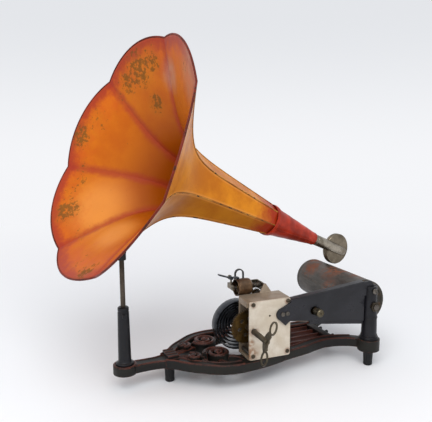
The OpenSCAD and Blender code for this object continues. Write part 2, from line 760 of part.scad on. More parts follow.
// Cuts or fills a round hole along Y through the point p of X and Z
module bore_y(p, r) {
    translate([p[0], through, p[1]]) rotate([90, 0, 0]) cylinder(r = r, h = 3 * through);
}

// The belt's path round its two pulleys
belt_gap = 0.15;
belt_span = norm(spindle_at - drive_at);
belt_slope = atan2(spindle_at[1] - drive_at[1], spindle_at[0] - drive_at[0]);
belt_lean = asin((rim_r - pulley_r) / belt_span);
belt_up = belt_slope + 90 + belt_lean;
belt_down = belt_slope - 90 - belt_lean;
function polar(r, a) = r * [cos(a), sin(a)];
function arc(c, r, a0, a1, n) = [for (i = [0:n]) c + polar(r, a0 + (a1 - a0) * i / n)];
function belt_loop(o) = concat(
    arc(drive_at, pulley_r + belt_gap + o, belt_up, belt_down + 360, 20),
    arc(spindle_at, rim_r + belt_gap + o, belt_down, belt_up, 32));

module drive_belt() {
    color("#3a2a20") upright(belt_y + belt_w / 2, belt_w) difference() {
        polygon(belt_loop(belt_t));
        polygon(belt_loop(0));
    }
}

// The guide wheel lies inside the belt and carries its upper run
high_point = drive_at + polar(pulley_r + belt_gap, belt_up);
run = polar(1, belt_up - 90);
guide_off = polar(guide_r + belt_gap, belt_up);
guide_run = (guide_x + guide_off[0] - high_point[0]) / run[0];
guide_at = high_point + guide_run * run - guide_off;
guide_pin_r = 2;
guide_hub_r = 3.9;
hub_front_y = front_y - arm_t - 7;

module guide_wheel() {
    w = 4.4;
    color("#a98b4f") translate([guide_at[0], belt_y - w / 2, guide_at[1]])
        rotate([-90, 0, 0]) difference() {
            cylinder(r = guide_r, h = w);
            translate([0, 0, -1]) cylinder(r = guide_pin_r + running, h = w + 2);
            for (z = [-1, w - 1]) translate([0, 0, z]) difference() {
                cylinder(r = guide_r - 1.8, h = 2);
                translate([0, 0, -1]) cylinder(r = 4.6, h = 4);
            }
        }
}

module guide_stud() {
    end_y = belt_y + 2.4 + passing;
    color("#8b8176") translate([guide_at[0], hub_front_y, guide_at[1]])
        rotate([-90, 0, 0]) difference() {
            union() {
                cylinder(r1 = guide_hub_r - 0.8, r2 = guide_hub_r, h = 0.8);
                translate([0, 0, 0.79]) cylinder(r = guide_hub_r, h = arm_t + 7);
                cylinder(r = guide_pin_r, h = end_y + 1 - hub_front_y);
                translate([0, 0, end_y - hub_front_y]) cylinder(r = guide_pin_r + 1.4, h = 1.2);
            }
            translate([0, 0, -1]) cylinder(r = 1, h = 2);
        }
}

// The arm plate widens from the motor to the post; its left end laps the front plate
arm_left = plate_x + plate_w - 0.6;
arm_right = post_x - post_low_r - 0.6;
arm_low = [61.6, 50];
arm_high = [82.2, 91.2];
lobe_at = [plate_x + plate_w - 9.2, 69];
lobe_screw_at = [lobe_at + [0, 0.4], lobe_at + [4.9, 0.6]];
lobe_screw_r = 1.2;
function edge_z(e, x) = e[0] + (e[1] - e[0]) * (x - arm_left) / (arm_right - arm_left);
rail_d = 7;

// A rail folded back from the plate along the edge e, from x0 to its right end
module arm_rail(e, x0, off, t, d) {
    upright(front_y + d, d + off * 0.3 + arm_t / 3) polygon([[x0, edge_z(e, x0) + off],
        [arm_right, edge_z(e, arm_right) + off], [arm_right, edge_z(e, arm_right) + off - t],
        [x0, edge_z(e, x0) + off - t]]);
}

module arm_plate() {
    tab_x = post_x + post_high_r;
    rail_t = 1.6;
    color("#35363d") difference() {
        union() {
            upright(front_y, arm_t) {
                polygon([[arm_left, arm_low[0]], [arm_right, arm_low[1]],
                    [arm_right, slot_z + 0.1], [tab_x, slot_z + 0.1],
                    [tab_x, arm_high[1] + 1.4], [arm_right, arm_high[1]],
                    [arm_left, arm_high[0]]]);
                // The rounded lobe that is screwed to the motor's front plate
                translate(lobe_at) circle(r = 6.4);
                polygon([lobe_at + [-2, 6], [arm_left + 1, arm_high[0] - 1.5],
                    [arm_left + 1, arm_low[0] + 1], [arm_left - 5.6, arm_low[0] - 4],
                    lobe_at + [-3, -5.6]]);
            }
            arm_rail(arm_low, arm_left + 2.4, rail_t - 0.3, rail_t, rail_d);
            arm_rail(arm_high, arm_left + 2.4, 0.3, rail_t, rail_d);
            arm_rail(arm_low, arm_left + 22, 1, 4.6, 1.4);
        }
        bore_y(guide_at, guide_hub_r + running);
        bore_y(guide_at + [-3.6, 1.6], 4.2);
        for (p = lobe_screw_at) bore_y(p, lobe_screw_r + running);
        bore_y([post_x, clamp_z], clamp_r + running);
    }
}

// A slotted screw with its head's back face at the origin and its shank along +Z
module pan_screw(r, l, head_r, head_t) {
    slot = 0.25;
    cylinder(r = r, h = l);
    translate([0, 0, -head_t]) difference() {
        union() {
            cylinder(r1 = head_r * 0.7, r2 = head_r, h = head_t / 2);
            translate([0, 0, head_t / 2 - 0.01]) cylinder(r = head_r, h = head_t / 2 + 0.01);
        }
        translate([-head_r, -slot, -0.1]) cube([2 * head_r, 2 * slot, head_t / 2]);
    }
}

module arm_screws() {
    color("#8f8b84") {
        for (p = lobe_screw_at) translate([p[0], front_y - arm_t, p[1]])
            rotate([-90, 25, 0]) pan_screw(lobe_screw_r, arm_t + plate_t - 0.1, 2.2, 1.4);
        translate([post_x, -post_y - post_high_r - 0.3, clamp_z]) rotate([-90, 60, 0])
            pan_screw(clamp_r, 2 * post_high_r - 1, 2.9, 2.2);
    }
}

// Corners of the motor, where a screw holds the front plate to each pillar
corner_at = [for (x = [4.1, plate_w - 2.8], z = [4.1, plate_h - 2.8])
    [plate_x + x, plate_z + z]];
corner_r = 1.2;
pivot_pin_r = 0.9;
thread_l = 7;

module front_plate() {
    rc = 2;
    color("#d8cfc2") difference() {
        upright(inner_y0, plate_t) {
            translate([plate_x + rc, plate_z]) square([plate_w - 2 * rc, plate_h]);
            translate([plate_x, plate_z + rc]) square([plate_w, plate_h - 2 * rc]);
            for (x = [rc, plate_w - rc], z = [rc, plate_h - rc])
                translate([plate_x + x, plate_z + z]) circle(r = rc);
        }
        for (p = corner_at) bore_y(p, corner_r + running);
        for (p = lobe_screw_at) bore_y(p, lobe_screw_r + running);
        bore_y(arbor_at, arbor_r + running);
        for (p = [second_at, drive_at]) bore_y(p, pivot_pin_r + running);
    }
}

module plate_screws() {
    color("#6b5f50") for (p = corner_at) translate([p[0], front_y, p[1]])
        rotate([-90, 40, 0]) pan_screw(corner_r, plate_t + thread_l - 1, 2.1, 1);
}

module pillars() {
    l = inner_y1 - inner_y0;
    color("#9a9184") for (p = corner_at) translate([p[0], inner_y0, p[1]])
        rotate([-90, 0, 0]) difference() {
            cylinder(r = pillar_r, h = l);
            translate([0, 0, -1]) cylinder(r = corner_r + running, h = thread_l + 1);
        }
}

frame_screw_r = 1.6;
frame_screw_at = [for (x = [13, 31]) [plate_x + x, back_y - 7]];
ear_x = plate_x + 28.4;
ear_h = 9;
arbor_back_r = 2.5;
second_back_r = 1.5;

module motor_frame() {
    roof_z = plate_top - plate_t;
    lip_h = 4.4;
    color("#cbbfae") difference() {
        union() {
            translate([plate_x, inner_y0, roof_z]) cube([plate_w, motor_d - plate_t, plate_t]);
            translate([plate_x, inner_y1, base_top])
                cube([plate_w, plate_t, plate_top - base_top]);
            translate([plate_x, inner_y0 + 0.1, base_top])
                cube([plate_w, motor_d - plate_t - 0.1, plate_t]);
            // The lip folded down at the roof's left end
            translate([plate_x - plate_t, inner_y0 + 1, roof_z - lip_h])
                cube([plate_t + weld, motor_d - plate_t - 5, plate_t + lip_h]);
            // The pointed ear over the governor's worm
            upright(back_y, plate_t) polygon([[ear_x - 6.4, plate_top - weld],
                [ear_x - 1.2, plate_top + ear_h - 0.3], [ear_x + 0.6, plate_top + ear_h],
                [ear_x + 7, plate_top - weld]]);
        }
        // The roof is grooved over the two upper pillars
        for (p = corner_at) translate([p[0], inner_y1 - 0.01, p[1]]) rotate([90, 0, 0])
            cylinder(r = pillar_r + running, h = motor_d);
        bore_y(arbor_at, arbor_back_r + running);
        bore_y(second_at, second_back_r + running);
        for (p = [drive_at, third_at]) bore_y(p, pivot_pin_r + running);
        bore_y(spring_post_at, spring_pin_r + running);
        for (p = frame_screw_at) translate([p[0], p[1], base_top - 1])
            cylinder(r = frame_screw_r + running, h = 5);
    }
}

module frame_screws() {
    color("#5d5750") for (p = frame_screw_at)
        translate([p[0], p[1], base_top + plate_t]) rotate([180, 0, 30])
            pan_screw(frame_screw_r, base_t, 3, 1.6);
}

// A wheel with involute teeth drawn in X and Z, one tooth pointing along spin
function roll(rb, r) = let (a = acos(min(1, rb / r))) tan(a) * 180 / PI - a;
module gear_outline(teeth, mod, spin) {
    r = mod * teeth / 2;
    rb = r * cos(20);
    tip = r + addendum * mod;
    root = r - dedendum * mod;
    play = 0.045 / r * 180 / PI;
    pitch = 360 / teeth;
    foot = max(root, rb);
    function flank(q) = pitch / 4 - play + roll(rb, r) - roll(rb, q);
    heel = flank(foot) + 0.04 * pitch;
    tooth = [[root, -heel], [foot, -flank(foot)], [r, -flank(r)], [tip, -flank(tip)],
        [tip, flank(tip)], [r, flank(r)], [foot, flank(foot)], [root, heel]];
    polygon([for (i = [0:teeth - 1], p = tooth) polar(p[0], p[1] + i * pitch + spin)]);
}
module gear(at, y0, h, teeth, mod, spin) {
    upright(y0 + h, h) translate(at) gear_outline(teeth, mod, spin);
}
module disc(at, y0, h, r) {
    upright(y0 + h, h) translate(at) circle(r = r);
}

key_y = front_y - key_reach;
key_bore_r = 1.7;
key_seat_y = front_y - 13;
key_stem_r = 2.7;
key_turn = 18;

module winding_arbor() {
    color("#7e776c") {
        disc(arbor_at, key_seat_y + 0.3, front_y - 0.5 - key_seat_y, key_bore_r - running);
        disc(arbor_at, front_y - 0.6, great_y + great_t + 6.4 - front_y, arbor_r);
        disc(arbor_at, great_y + great_t + 5, spring_y + spring_w - great_y - great_t - 5,
            arbor_back_r);
    }
}

// Half of the key's outline: +X is up along the wing and +Y towards the viewer
wing_t = 1.4;
loop_l = 6.9;
loop_w = 5.9;
loop_ring = 1.5;
loop_lean = 16;
function oval(l, w) = [for (a = [0:15:345]) [l * cos(a), w * sin(a)]];

module key_wing() {
    lead = 5.8;
    difference() {
        union() {
            polygon(band(smooth([[0, 0, 9.6], [key_span * 0.32, 1.4, 8],
                [key_span - loop_l + 0.8, lead - 1.8, 6.6]], 4)));
            translate([key_span, lead]) rotate(loop_lean) polygon(oval(loop_l, loop_w));
        }
        translate([key_span, lead]) rotate(loop_lean)
            polygon(oval(loop_l - loop_ring, loop_w - loop_ring));
    }
}

module winding_key() {
    color("#8c8068") translate([arbor_at[0], 0, arbor_at[1]]) rotate([0, key_turn, 0]) {
        difference() {
            translate([0, front_y - 1.2, 0]) rotate([90, 0, 0])
                cylinder(r = key_stem_r, h = key_reach + 1.5);
            translate([0, front_y, 0]) rotate([90, 0, 0])
                cylinder(r = key_bore_r, h = front_y - key_seat_y);
        }
        for (s = [0, 1]) mirror([0, 0, s]) translate([wing_t / 2, key_y, 0])
            rotate([0, -90, 0]) linear_extrude(wing_t) mirror([0, 1]) key_wing();
    }
}

module great_wheel() {
    color("#b08a3e") {
        difference() {
            gear(arbor_at, great_y, great_t, great_teeth, great_mod, stage1_dir);
            bore_y(arbor_at, arbor_r + running);
            for (a = [0:60:300]) bore_y(arbor_at + polar(8.6, a + 15), 2.2);
        }
        // The click's pin and the washer over it
        disc(click_pin_at, great_y + great_t - 0.1, ratchet_t + 0.8, click_pin_r);
        disc(click_pin_at, click_y + ratchet_t + 0.15, 0.6, click_pin_r + 0.7);
    }
}

// The ratchet's teeth lean one way: each falls steeply from its tip, then rises to the
// next. One tip stands at the click's nose.
ratchet_t = 2;
tooth_h = 1.3;
tooth_lean = 3;
module ratchet_wheel() {
    pitch = 360 / ratchet_teeth;
    color("#7f7a70") difference() {
        upright(click_y + ratchet_t, ratchet_t) translate(arbor_at)
            polygon([for (i = [0:ratchet_teeth - 1]) let (a = click_turn + i * pitch)
                each [polar(ratchet_r, a), polar(ratchet_r - tooth_h, a + tooth_lean),
                    polar(ratchet_r - tooth_h * 0.45, a + pitch * 0.55)]]);
        bore_y(arbor_at, arbor_r + 0.01);
    }
}

// The click's nose stands behind a ratchet tooth; a leaf spring hangs over its back.
// A point by the click lies a out from the arbor at the click's turn, and b past that
click_turn = 45;
click_pin_r = 1.1;
function by_click(a, b) = arbor_at + polar(a, click_turn) + polar(b, click_turn + 90);
click_pin_at = by_click(ratchet_r + 1.6, 7.5);

module click() {
    nose_r = ratchet_r - 0.55;
    color("#918a7c") difference() {
        upright(click_y + ratchet_t, ratchet_t) {
            translate(click_pin_at) circle(r = 2.3);
            polygon([by_click(nose_r, 0.27), by_click(nose_r + 1.5, 0.27),
                by_click(ratchet_r + 3.7, 7.3), by_click(ratchet_r + 2, 8.8),
                by_click(ratchet_r + 0.2, 6.3)]);
        }
        bore_y(click_pin_at, click_pin_r + running);
    }
}

module click_spring() {
    stud = by_click(ratchet_r + 6.4, 4.2);
    tip = by_click(ratchet_r + 2.65, 1.8);
    color("#a8a298") {
        disc(stud, great_y + great_t + 0.02, ratchet_t + 0.4, 0.8);
        upright(click_y + ratchet_t, ratchet_t - 0.3)
            polygon(band([[stud[0], stud[1], 0.5], [tip[0], tip[1], 0.4]]));
    }
}

// The mainspring winds from the arbor to its post, its turns falling below the arbor
spring_in = arbor_back_r + 0.45 + spring_t / 2;
spring_drop = [-1.2, -4.4];
spring_end = -32;
spring_steps = 30;
spring_count = spring_turns * spring_steps;
function spring_point(i) = let (f = i / spring_count,
    a = spring_end - 360 * (spring_turns - i / spring_steps),
    r = spring_in + (spring_r - spring_t / 2 - spring_in) * f)
    arbor_at + spring_drop * f + polar(r, a);
spring_line = [for (i = [0:spring_count]) spring_point(i)];
spring_gap = min([for (i = [0:spring_count - spring_steps], k = [-2:2])
    norm(spring_line[i] - spring_line[min(i + spring_steps + k, spring_count)])]) - spring_t;
echo(mainspring_least_gap = spring_gap);
spring_pin_r = 1.5;
spring_post_at = spring_point(spring_count) + polar(spring_pin_r + spring_t / 2, spring_end);

module mainspring() {
    color("#4a4a4d") upright(spring_y + spring_w, spring_w)
        polygon(band([for (p = spring_line) [p[0], p[1], spring_t]]));
}

module spring_post() {
    color("#8a8378") {
        disc(spring_post_at, back_y - 1, spring_y + spring_w + 1.8 - back_y, spring_pin_r);
        disc(spring_post_at, back_y + 0.05, 2, spring_pin_r + 1.2);
        disc(spring_post_at, spring_y + spring_w + 0.4, 1.6, spring_pin_r + 0.9);
    }
}

shaft_r = 1.4;
pinion_w = 3.8;

module second_arbor() {
    color("#9c9384") {
        disc(second_at, front_y + 0.1, plate_t + 0.4, pivot_pin_r);
        disc(second_at, inner_y0 + 0.3, inner_y1 - inner_y0 - 0.6, shaft_r);
        disc(second_at, inner_y1 - 0.6, rear_y + rear_t + 0.8 - inner_y1, second_back_r - 0.1);
        difference() {
            gear(second_at, rear_y, rear_t, rear_teeth, rear_mod, 90);
            for (a = [0:72:288]) bore_y(second_at + polar(5.2, a), 1.7);
        }
        gear(second_at, great_y - (pinion_w - great_t) / 2, pinion_w, pinion_teeth, great_mod,
            stage1_dir + 180 + 180 / pinion_teeth);
    }
}

module second_wheel() {
    color("#b08a3e") difference() {
        union() {
            gear(second_at, second_y, 1.6, second_teeth, second_mod, stage2_dir);
            disc(second_at, second_y, 3, shaft_r + 2);
        }
        bore_y(second_at, shaft_r + 0.01);
        for (a = [0:72:288]) bore_y(second_at + polar(8, a), 2.4);
    }
}

// A short arbor between the motor's back and the governor's bracket
module third_arbor() {
    color("#9c9384") {
        disc(third_at, inner_y1 + 0.1, plate_t + 0.3, pivot_pin_r);
        disc(third_at, back_y + 0.15, strip_y - back_y - 0.3, shaft_r);
        disc(third_at, strip_y - 0.3, strip_t + 0.6, pivot_pin_r);
        gear(third_at, rear_y - 0.4, rear_t + 0.8, rear_pinion_teeth, rear_mod,
            270 + 180 / rear_pinion_teeth);
    }
}

module drive_arbor() {
    color("#9c9384") {
        disc(drive_at, front_y + 0.1, plate_t + 0.4, pivot_pin_r);
        disc(drive_at, inner_y0 + 0.3, inner_y1 - inner_y0 - 0.6, shaft_r);
        disc(drive_at, inner_y1 - 0.4, plate_t + 0.9, pivot_pin_r);
        gear(drive_at, second_y - 0.5, 2.6, second_pinion_teeth, second_mod,
            stage2_dir + 180 + 180 / second_pinion_teeth);
    }
}

module drive_pulley() {
    w = belt_w + 2.6;
    flange = 1.1;
    color("#a98b4f") difference() {
        union() {
            disc(drive_at, belt_y - w / 2, w + 3, shaft_r + 2);
            disc(drive_at, belt_y - w / 2, w, pulley_r);
            for (y = [belt_y - w / 2, belt_y + w / 2 - flange])
                disc(drive_at, y, flange, pulley_r + 1.5);
        }
        bore_y(drive_at, shaft_r + 0.01);
    }
}

module governor_wheel() {
    color("#b08a3e") difference() {
        union() {
            gear(third_at, gov_y - gov_wheel_t / 2, gov_wheel_t, governor_teeth,
                governor_mod, 90);
            disc(third_at, gov_y, 3.4, shaft_r + 1.4);
        }
        bore_y(third_at, shaft_r + 0.01);
    }
}

// Stations of the governor's spindle along X
worm_l = 8;
worm_x = third_at[0] - worm_l / 2;
cup_end_x = worm_x - 1.2;
cup_x = cup_end_x - cup_l;
left_x = cup_x - 4.2;
right_x = worm_x + worm_l + 1.4;
ear_w = 1.6;
gov_pin_r = 0.9;
module along_x(x) {
    translate([x, gov_y, gov_z]) rotate([0, 90, 0]) children();
}

// The worm's threads are helical ribs, swept as one tapered band a thread
worm_core_r = worm_r - 0.9;
worm_lead = 360 / governor_teeth * (gov_tip - 0.45) * PI / 180 * worm_starts;
// Turned so that the wheel's top tooth stands between two threads
worm_phase = 180 / worm_starts - worm_l / 2 / worm_lead * 360;
module worm_thread(a0) {
    steps = 20;
    flat = 0.3;
    foot = 0.9;
    section = [[worm_core_r - 0.3, -foot / 2], [worm_core_r - 0.3, foot / 2],
        [worm_r, flat / 2], [worm_r, -flat / 2]];
    m = len(section);
    points = [for (i = [0:steps], p = section)
        let (x = 0.8 + (worm_l - 1.6) * i / steps, a = a0 + x / worm_lead * 360)
        [p[0] * cos(a), p[0] * sin(a), x + p[1]]];
    sides = [for (i = [0:steps - 1], j = [0:m - 1])
        let (a = i * m + j, b = i * m + (j + 1) % m)
        each [[a, b + m, b], [a, a + m, b + m]]];
    e = steps * m;
    polyhedron(points, concat([[0, 1, 2], [0, 2, 3]], sides,
        [[e, e + 2, e + 1], [e, e + 3, e + 2]]), 4);
}

module governor_spindle() {
    color("#a39c8e") {
        along_x(left_x - 0.4) cylinder(r = gov_pin_r, h = 2.4);
        along_x(left_x + ear_w + 0.2) cylinder(r = 1.3, h = right_x - left_x - ear_w - 0.4);
        along_x(right_x - 0.4) cylinder(r = gov_pin_r, h = 2.4);
        along_x(worm_x) cylinder(r = worm_core_r, h = worm_l);
        along_x(worm_x) for (k = [0:worm_starts - 1])
            worm_thread(worm_phase + k * 360 / worm_starts);
    }
}

// The cup is open to the left and its closed end is domed by three turned steps
module governor_cup() {
    wall = 0.9;
    dome = 5;
    outer = [[cup_r, 0], [cup_r, cup_l - dome], [cup_r * 0.96, cup_l - dome * 0.55],
        [cup_r * 0.8, cup_l - dome * 0.2], [cup_r * 0.5, cup_l]];
    color("#8d7355") along_x(cup_x) rotate_extrude() polygon(concat([[1.4, cup_l]],
        [[1.4, cup_l - 1.6]], [[cup_r * 0.5 - wall, cup_l - 1.6],
        [cup_r * 0.8 - wall, cup_l - dome * 0.4], [cup_r * 0.96 - wall, cup_l - dome * 0.75],
        [cup_r - wall, cup_l - dome - 0.4], [cup_r - wall, 0]], outer));
}

module governor_weights() {
    r = 4.7;
    ball = 1.9;
    color("#a77c45") along_x(cup_x + 1) {
        difference() {
            cylinder(r = 2.6, h = 2);
            translate([0, 0, -1]) cylinder(r = 1.31, h = 4);
        }
        for (a = [0:120:240]) rotate([0, 0, a]) {
            translate([2.2, -0.9, 0.5]) cube([r - 1.6, 1.8, 0.5]);
            translate([r, -0.9, 0.5]) cube([0.5, 1.8, 9]);
            translate([r + 0.1, 0, 5]) sphere(r = ball, $fn = 24);
            translate([2.2, -0.9, 9]) cube([r - 1.7, 1.8, 0.5]);
        }
        translate([0, 0, 8.5]) difference() {
            cylinder(r = 2.6, h = 1.5);
            translate([0, 0, -1]) cylinder(r = 1.31, h = 4);
        }
    }
}

// The bracket is one bent strip behind the cup, with a bearing ear at each end
strip_z0 = gov_z - 2.4;
strip_h = 5;
strip_y = gov_y + cup_r + 1.6;
strip_t = 1.4;
hinge_at = [left_x - 0.6, gov_z + cup_r + 1.6];
hinge_y = gov_y + 3.2;
hinge_r = 1;

module governor_bracket() {
    color("#8a7a63") difference() {
        union() {
            translate([left_x, strip_y, strip_z0])
                cube([right_x + ear_w - left_x, strip_t, strip_h]);
            translate([left_x, gov_y - 2.6, strip_z0])
                cube([ear_w, strip_y + strip_t - gov_y + 2.6, strip_h]);
            translate([right_x, back_y + 0.02, plate_top + 0.4])
                cube([ear_w, strip_y + strip_t - back_y - 0.02,
                    strip_z0 + strip_h - plate_top - 0.4]);
            // The post that carries the brake lever's hinge
            upright(hinge_y + strip_t, strip_t) {
                translate(hinge_at) circle(r = 2.3);
                translate([left_x, strip_z0 + 1])
                    square([ear_w, hinge_at[1] - strip_z0 - 1]);
            }
            // The lug that carries the third arbor's rear end
            upright(strip_y + strip_t, strip_t) {
                translate(third_at) circle(r = 2.3);
                translate([third_at[0] - 1.6, third_at[1]])
                    square([3.2, strip_z0 + 1 - third_at[1]]);
            }
        }
        for (x = [left_x, right_x]) along_x(x - 1) cylinder(r = gov_pin_r + running, h = 4);
        bore_y(hinge_at, hinge_r + running);
        bore_y(third_at, pivot_pin_r + running);
    }
}

// The lever lies over its hinge pin, its nose just above the cup's rim
lever_t = 1.2;
lever_w = 4;
lever_rise = 19;
module brake_lever() {
    nose_z = gov_z + cup_r + passing;
    nose_x = cup_x + 3.4;
    out = hinge_at + lever_l * [-cos(lever_rise), sin(lever_rise)];
    y = hinge_y - passing;
    color("#6d7478") {
        upright(y, lever_w) polygon(band([[out[0], out[1], lever_t],
            [hinge_at[0], hinge_at[1], lever_t], [cup_x + 0.4, nose_z + 1.4, lever_t],
            [nose_x, nose_z + 0.9, lever_t]]));
        upright(y, lever_w) translate(hinge_at) circle(r = 1.9);
        disc(hinge_at, y - 0.5, strip_t + passing + 1.2, hinge_r);
        translate([nose_x - 2.4, y - lever_w + 0.5, nose_z]) cube([2.4, lever_w - 1, 0.8]);
    }
}

// A strap bent to a hairpin stands on the bracket and guards the governor
strap_w = 8.8;
strap_top = gov_z + cup_r + 5.8;
module strap_loop() {
    t = 1.2;
    w = 3;
    x = cup_x + 5;
    r = strap_w / 2;
    line = concat([[x, strip_z0 + 0.6, t]], [for (a = [180:-15:0])
        [x + r + r * cos(a), strap_top - r + r * sin(a), t]],
        [[x + strap_w, strip_z0 + 0.6, t]]);
    color("#1e1c1d") upright(strip_y + strip_t + 0.02 + w, w) polygon(band(line));
}

lyre_base();
lyre_strings();
feet();
horn_socket();
support_rod();
rod_screw();
swivel_fork();
tilt_pin();
horn_bracket();
for (k = [1:PETALS])
    horn_panel(k - 1);
horn_ring();
horn_cone();
sound_tube();
sound_box();
box_gasket();
diaphragm();
clamp_ring();
stylus();
rear_post();
spindle();
spindle_nuts();
mandrel_shell();
mandrel_rim();
mandrel_cap();
drive_belt();
arm_plate();
arm_screws();
guide_wheel();
guide_stud();
front_plate();
plate_screws();
motor_frame();
pillars();
frame_screws();
winding_arbor();
winding_key();
great_wheel();
ratchet_wheel();
click();
click_spring();
mainspring();
spring_post();
second_arbor();
second_wheel();
third_arbor();
drive_arbor();
drive_pulley();
governor_wheel();
governor_spindle();
governor_cup();
governor_weights();
governor_bracket();
brake_lever();
strap_loop();
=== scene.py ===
"""Dresses a small lyre-based cylinder phonograph: a seven-petal painted horn, a cast
lyre, an open spring motor and a belt-driven mandrel, on a plain pale studio floor.

Sizes are in millimetres and are turned into metres where a mesh is made. The origin is
the centre of the front foot's floor face, +X runs to the mandrel and +Z is up.
"""

import json
import logging
import math
from dataclasses import dataclass
from enum import Enum
from typing import Callable, Iterable, Sequence

import bmesh
import bpy
from bpy.types import ID, Material, Mesh, Node, NodeSocket, NodeTree, Object
from mathutils import Matrix, Vector


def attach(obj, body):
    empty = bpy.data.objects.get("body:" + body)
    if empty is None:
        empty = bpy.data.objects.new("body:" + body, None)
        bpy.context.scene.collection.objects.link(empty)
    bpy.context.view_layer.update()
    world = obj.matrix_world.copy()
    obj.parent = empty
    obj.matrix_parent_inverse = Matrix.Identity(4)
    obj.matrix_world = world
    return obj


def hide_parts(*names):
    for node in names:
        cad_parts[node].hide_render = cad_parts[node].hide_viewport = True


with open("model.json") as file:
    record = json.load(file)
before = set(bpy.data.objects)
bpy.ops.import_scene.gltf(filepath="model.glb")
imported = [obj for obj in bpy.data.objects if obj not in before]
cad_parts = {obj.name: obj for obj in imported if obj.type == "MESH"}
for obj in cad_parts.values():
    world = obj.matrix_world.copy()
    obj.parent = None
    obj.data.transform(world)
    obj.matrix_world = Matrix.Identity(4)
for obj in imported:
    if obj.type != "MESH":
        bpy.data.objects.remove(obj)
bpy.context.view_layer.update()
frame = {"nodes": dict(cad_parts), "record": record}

MM = 0.001
MERGE_M = 2e-6  # Points closer than this become one.
FLAT_DEG = 0.6  # Faces that lean less than this make one flat.
CORNER_DEG = 32.0  # Edges steeper than this are rounded.
UNMOVED = Matrix.Identity(4)
LOG = logging.getLogger("phonograph")
Point = tuple[float, float, float]
Profile = list[tuple[float, float]]
Line = Sequence[Sequence[float]]
Spots = tuple[tuple[float, ...], ...]
Bead = tuple[float, float, float, float]
Value = object
Inputs = dict[str, Value]


def tone(code: str) -> tuple[float, float, float, float]:
    """Turns a colour written as #rrggbb into the linear RGBA that shaders take.

    Args:
        code: The colour as it looks on a screen.

    Returns:
        Linear red, green, blue and an alpha of 1.
    """
    parts = [int(code[i:i + 2], 16) / 255 for i in (1, 3, 5)]
    linear = [c / 12.92 if c <= 0.04045 else ((c + 0.055) / 1.055) ** 2.4 for c in parts]
    return (linear[0], linear[1], linear[2], 1.0)


def turn(axis: str, degrees: float) -> Matrix:
    """Returns a rotation about X, Y or Z as a 4 by 4 matrix."""
    return Matrix.Rotation(math.radians(degrees), 4, axis)


def shift(x: float, y: float, z: float) -> Matrix:
    """Returns a move in millimetres as a 4 by 4 matrix."""
    return Matrix.Translation((x, y, z))


def along_y(x: float, y: float, z: float) -> Matrix:
    """Returns the place of a turned piece whose +Z points to +Y from (x, y, z)."""
    return shift(x, y, z) @ turn("X", -90)


def along_x(x: float, y: float, z: float) -> Matrix:
    """Returns the place of a turned piece whose +Z points to +X from (x, y, z)."""
    return shift(x, y, z) @ turn("Y", 90)


def angles(steps: int) -> list[float]:
    """Returns angles in radians that divide a full turn evenly."""
    return [2 * math.pi * s / steps for s in range(steps)]


@dataclass(frozen=True)
class Layout:
    """The places that several sub-assemblies share, in millimetres and degrees."""

    rod: tuple[float, float] = (-44.954, -2.041)
    mouth_z: float = 225.6
    horn_yaw: float = 11.7
    horn_tilt: float = 24.1
    box_l: float = 301.5
    lyre_turn: float = 2.6
    foot_h: float = 17.0
    spindle: tuple[float, float] = (205.2, 65.7)
    post: tuple[float, float] = (205.2, -41.4)
    far_foot: tuple[float, float] = (200.603, 59.827)
    plate: Point = (67.6, -42.0, 26.2)
    arbor: tuple[float, float] = (72.5, 55.3)
    governor: Point = (67.02, -10.0, 90.892)

    @property
    def horn(self) -> Matrix:
        """The horn's frame: +X runs from the mouth's centre to the neck."""
        return (shift(self.rod[0], self.rod[1], self.mouth_z) @ turn("Z", self.horn_yaw)
                @ turn("Y", self.horn_tilt))

    @property
    def box(self) -> Matrix:
        """The sound box's frame: +Z points to the far side of the horn's axis."""
        return self.horn @ shift(self.box_l, 0, 0) @ turn("X", -90)

    @property
    def lyre(self) -> Matrix:
        """The casting's frame: +X along the lyre, its underside at zero."""
        return shift(0, 0, self.foot_h) @ turn("Z", self.lyre_turn)


HERE = Layout()


def stand(name: str, data: ID) -> Object:
    """Makes an object from a mesh, a lamp or a camera and links it to the scene.

    Args:
        name: The object's name.
        data: What it shows.

    Returns:
        The object, at the origin.
    """
    made = bpy.data.objects.new(name, data)
    bpy.context.scene.collection.objects.link(made)
    return made


def smooth(mesh: Mesh, sharp: float) -> None:
    """Shades a mesh smooth, but for edges above an angle in degrees."""
    mesh.shade_smooth()
    mesh.set_sharp_from_angle(angle=math.radians(sharp))


def lay(name: str, points: Iterable[Sequence[float]], faces: Iterable[Sequence[int]],
        place: Matrix = UNMOVED, sharp: float = 32.0) -> Object:
    """Makes one closed, smooth-shaded mesh object with its place in its vertices.

    Args:
        name: The piece's name.
        points: Vertices in millimetres, in the piece's own frame.
        faces: Vertex numbers of each face.
        place: The piece's frame, in millimetres.
        sharp: Angle in degrees above which an edge stays sharp.

    Returns:
        The new object, at the origin.
    """
    work = bmesh.new()
    corners = [work.verts.new(place @ Vector(p) * MM) for p in points]
    for ring in faces:
        if len({corners[i] for i in ring}) > 2:
            work.faces.new([corners[i] for i in ring])
    bmesh.ops.remove_doubles(work, verts=work.verts, dist=MERGE_M)
    bmesh.ops.dissolve_degenerate(work, edges=work.edges, dist=MERGE_M / 2)
    bmesh.ops.recalc_face_normals(work, faces=work.faces)
    mesh = bpy.data.meshes.new(name)
    work.to_mesh(mesh)
    work.free()
    smooth(mesh, sharp)
    return stand(name, mesh)


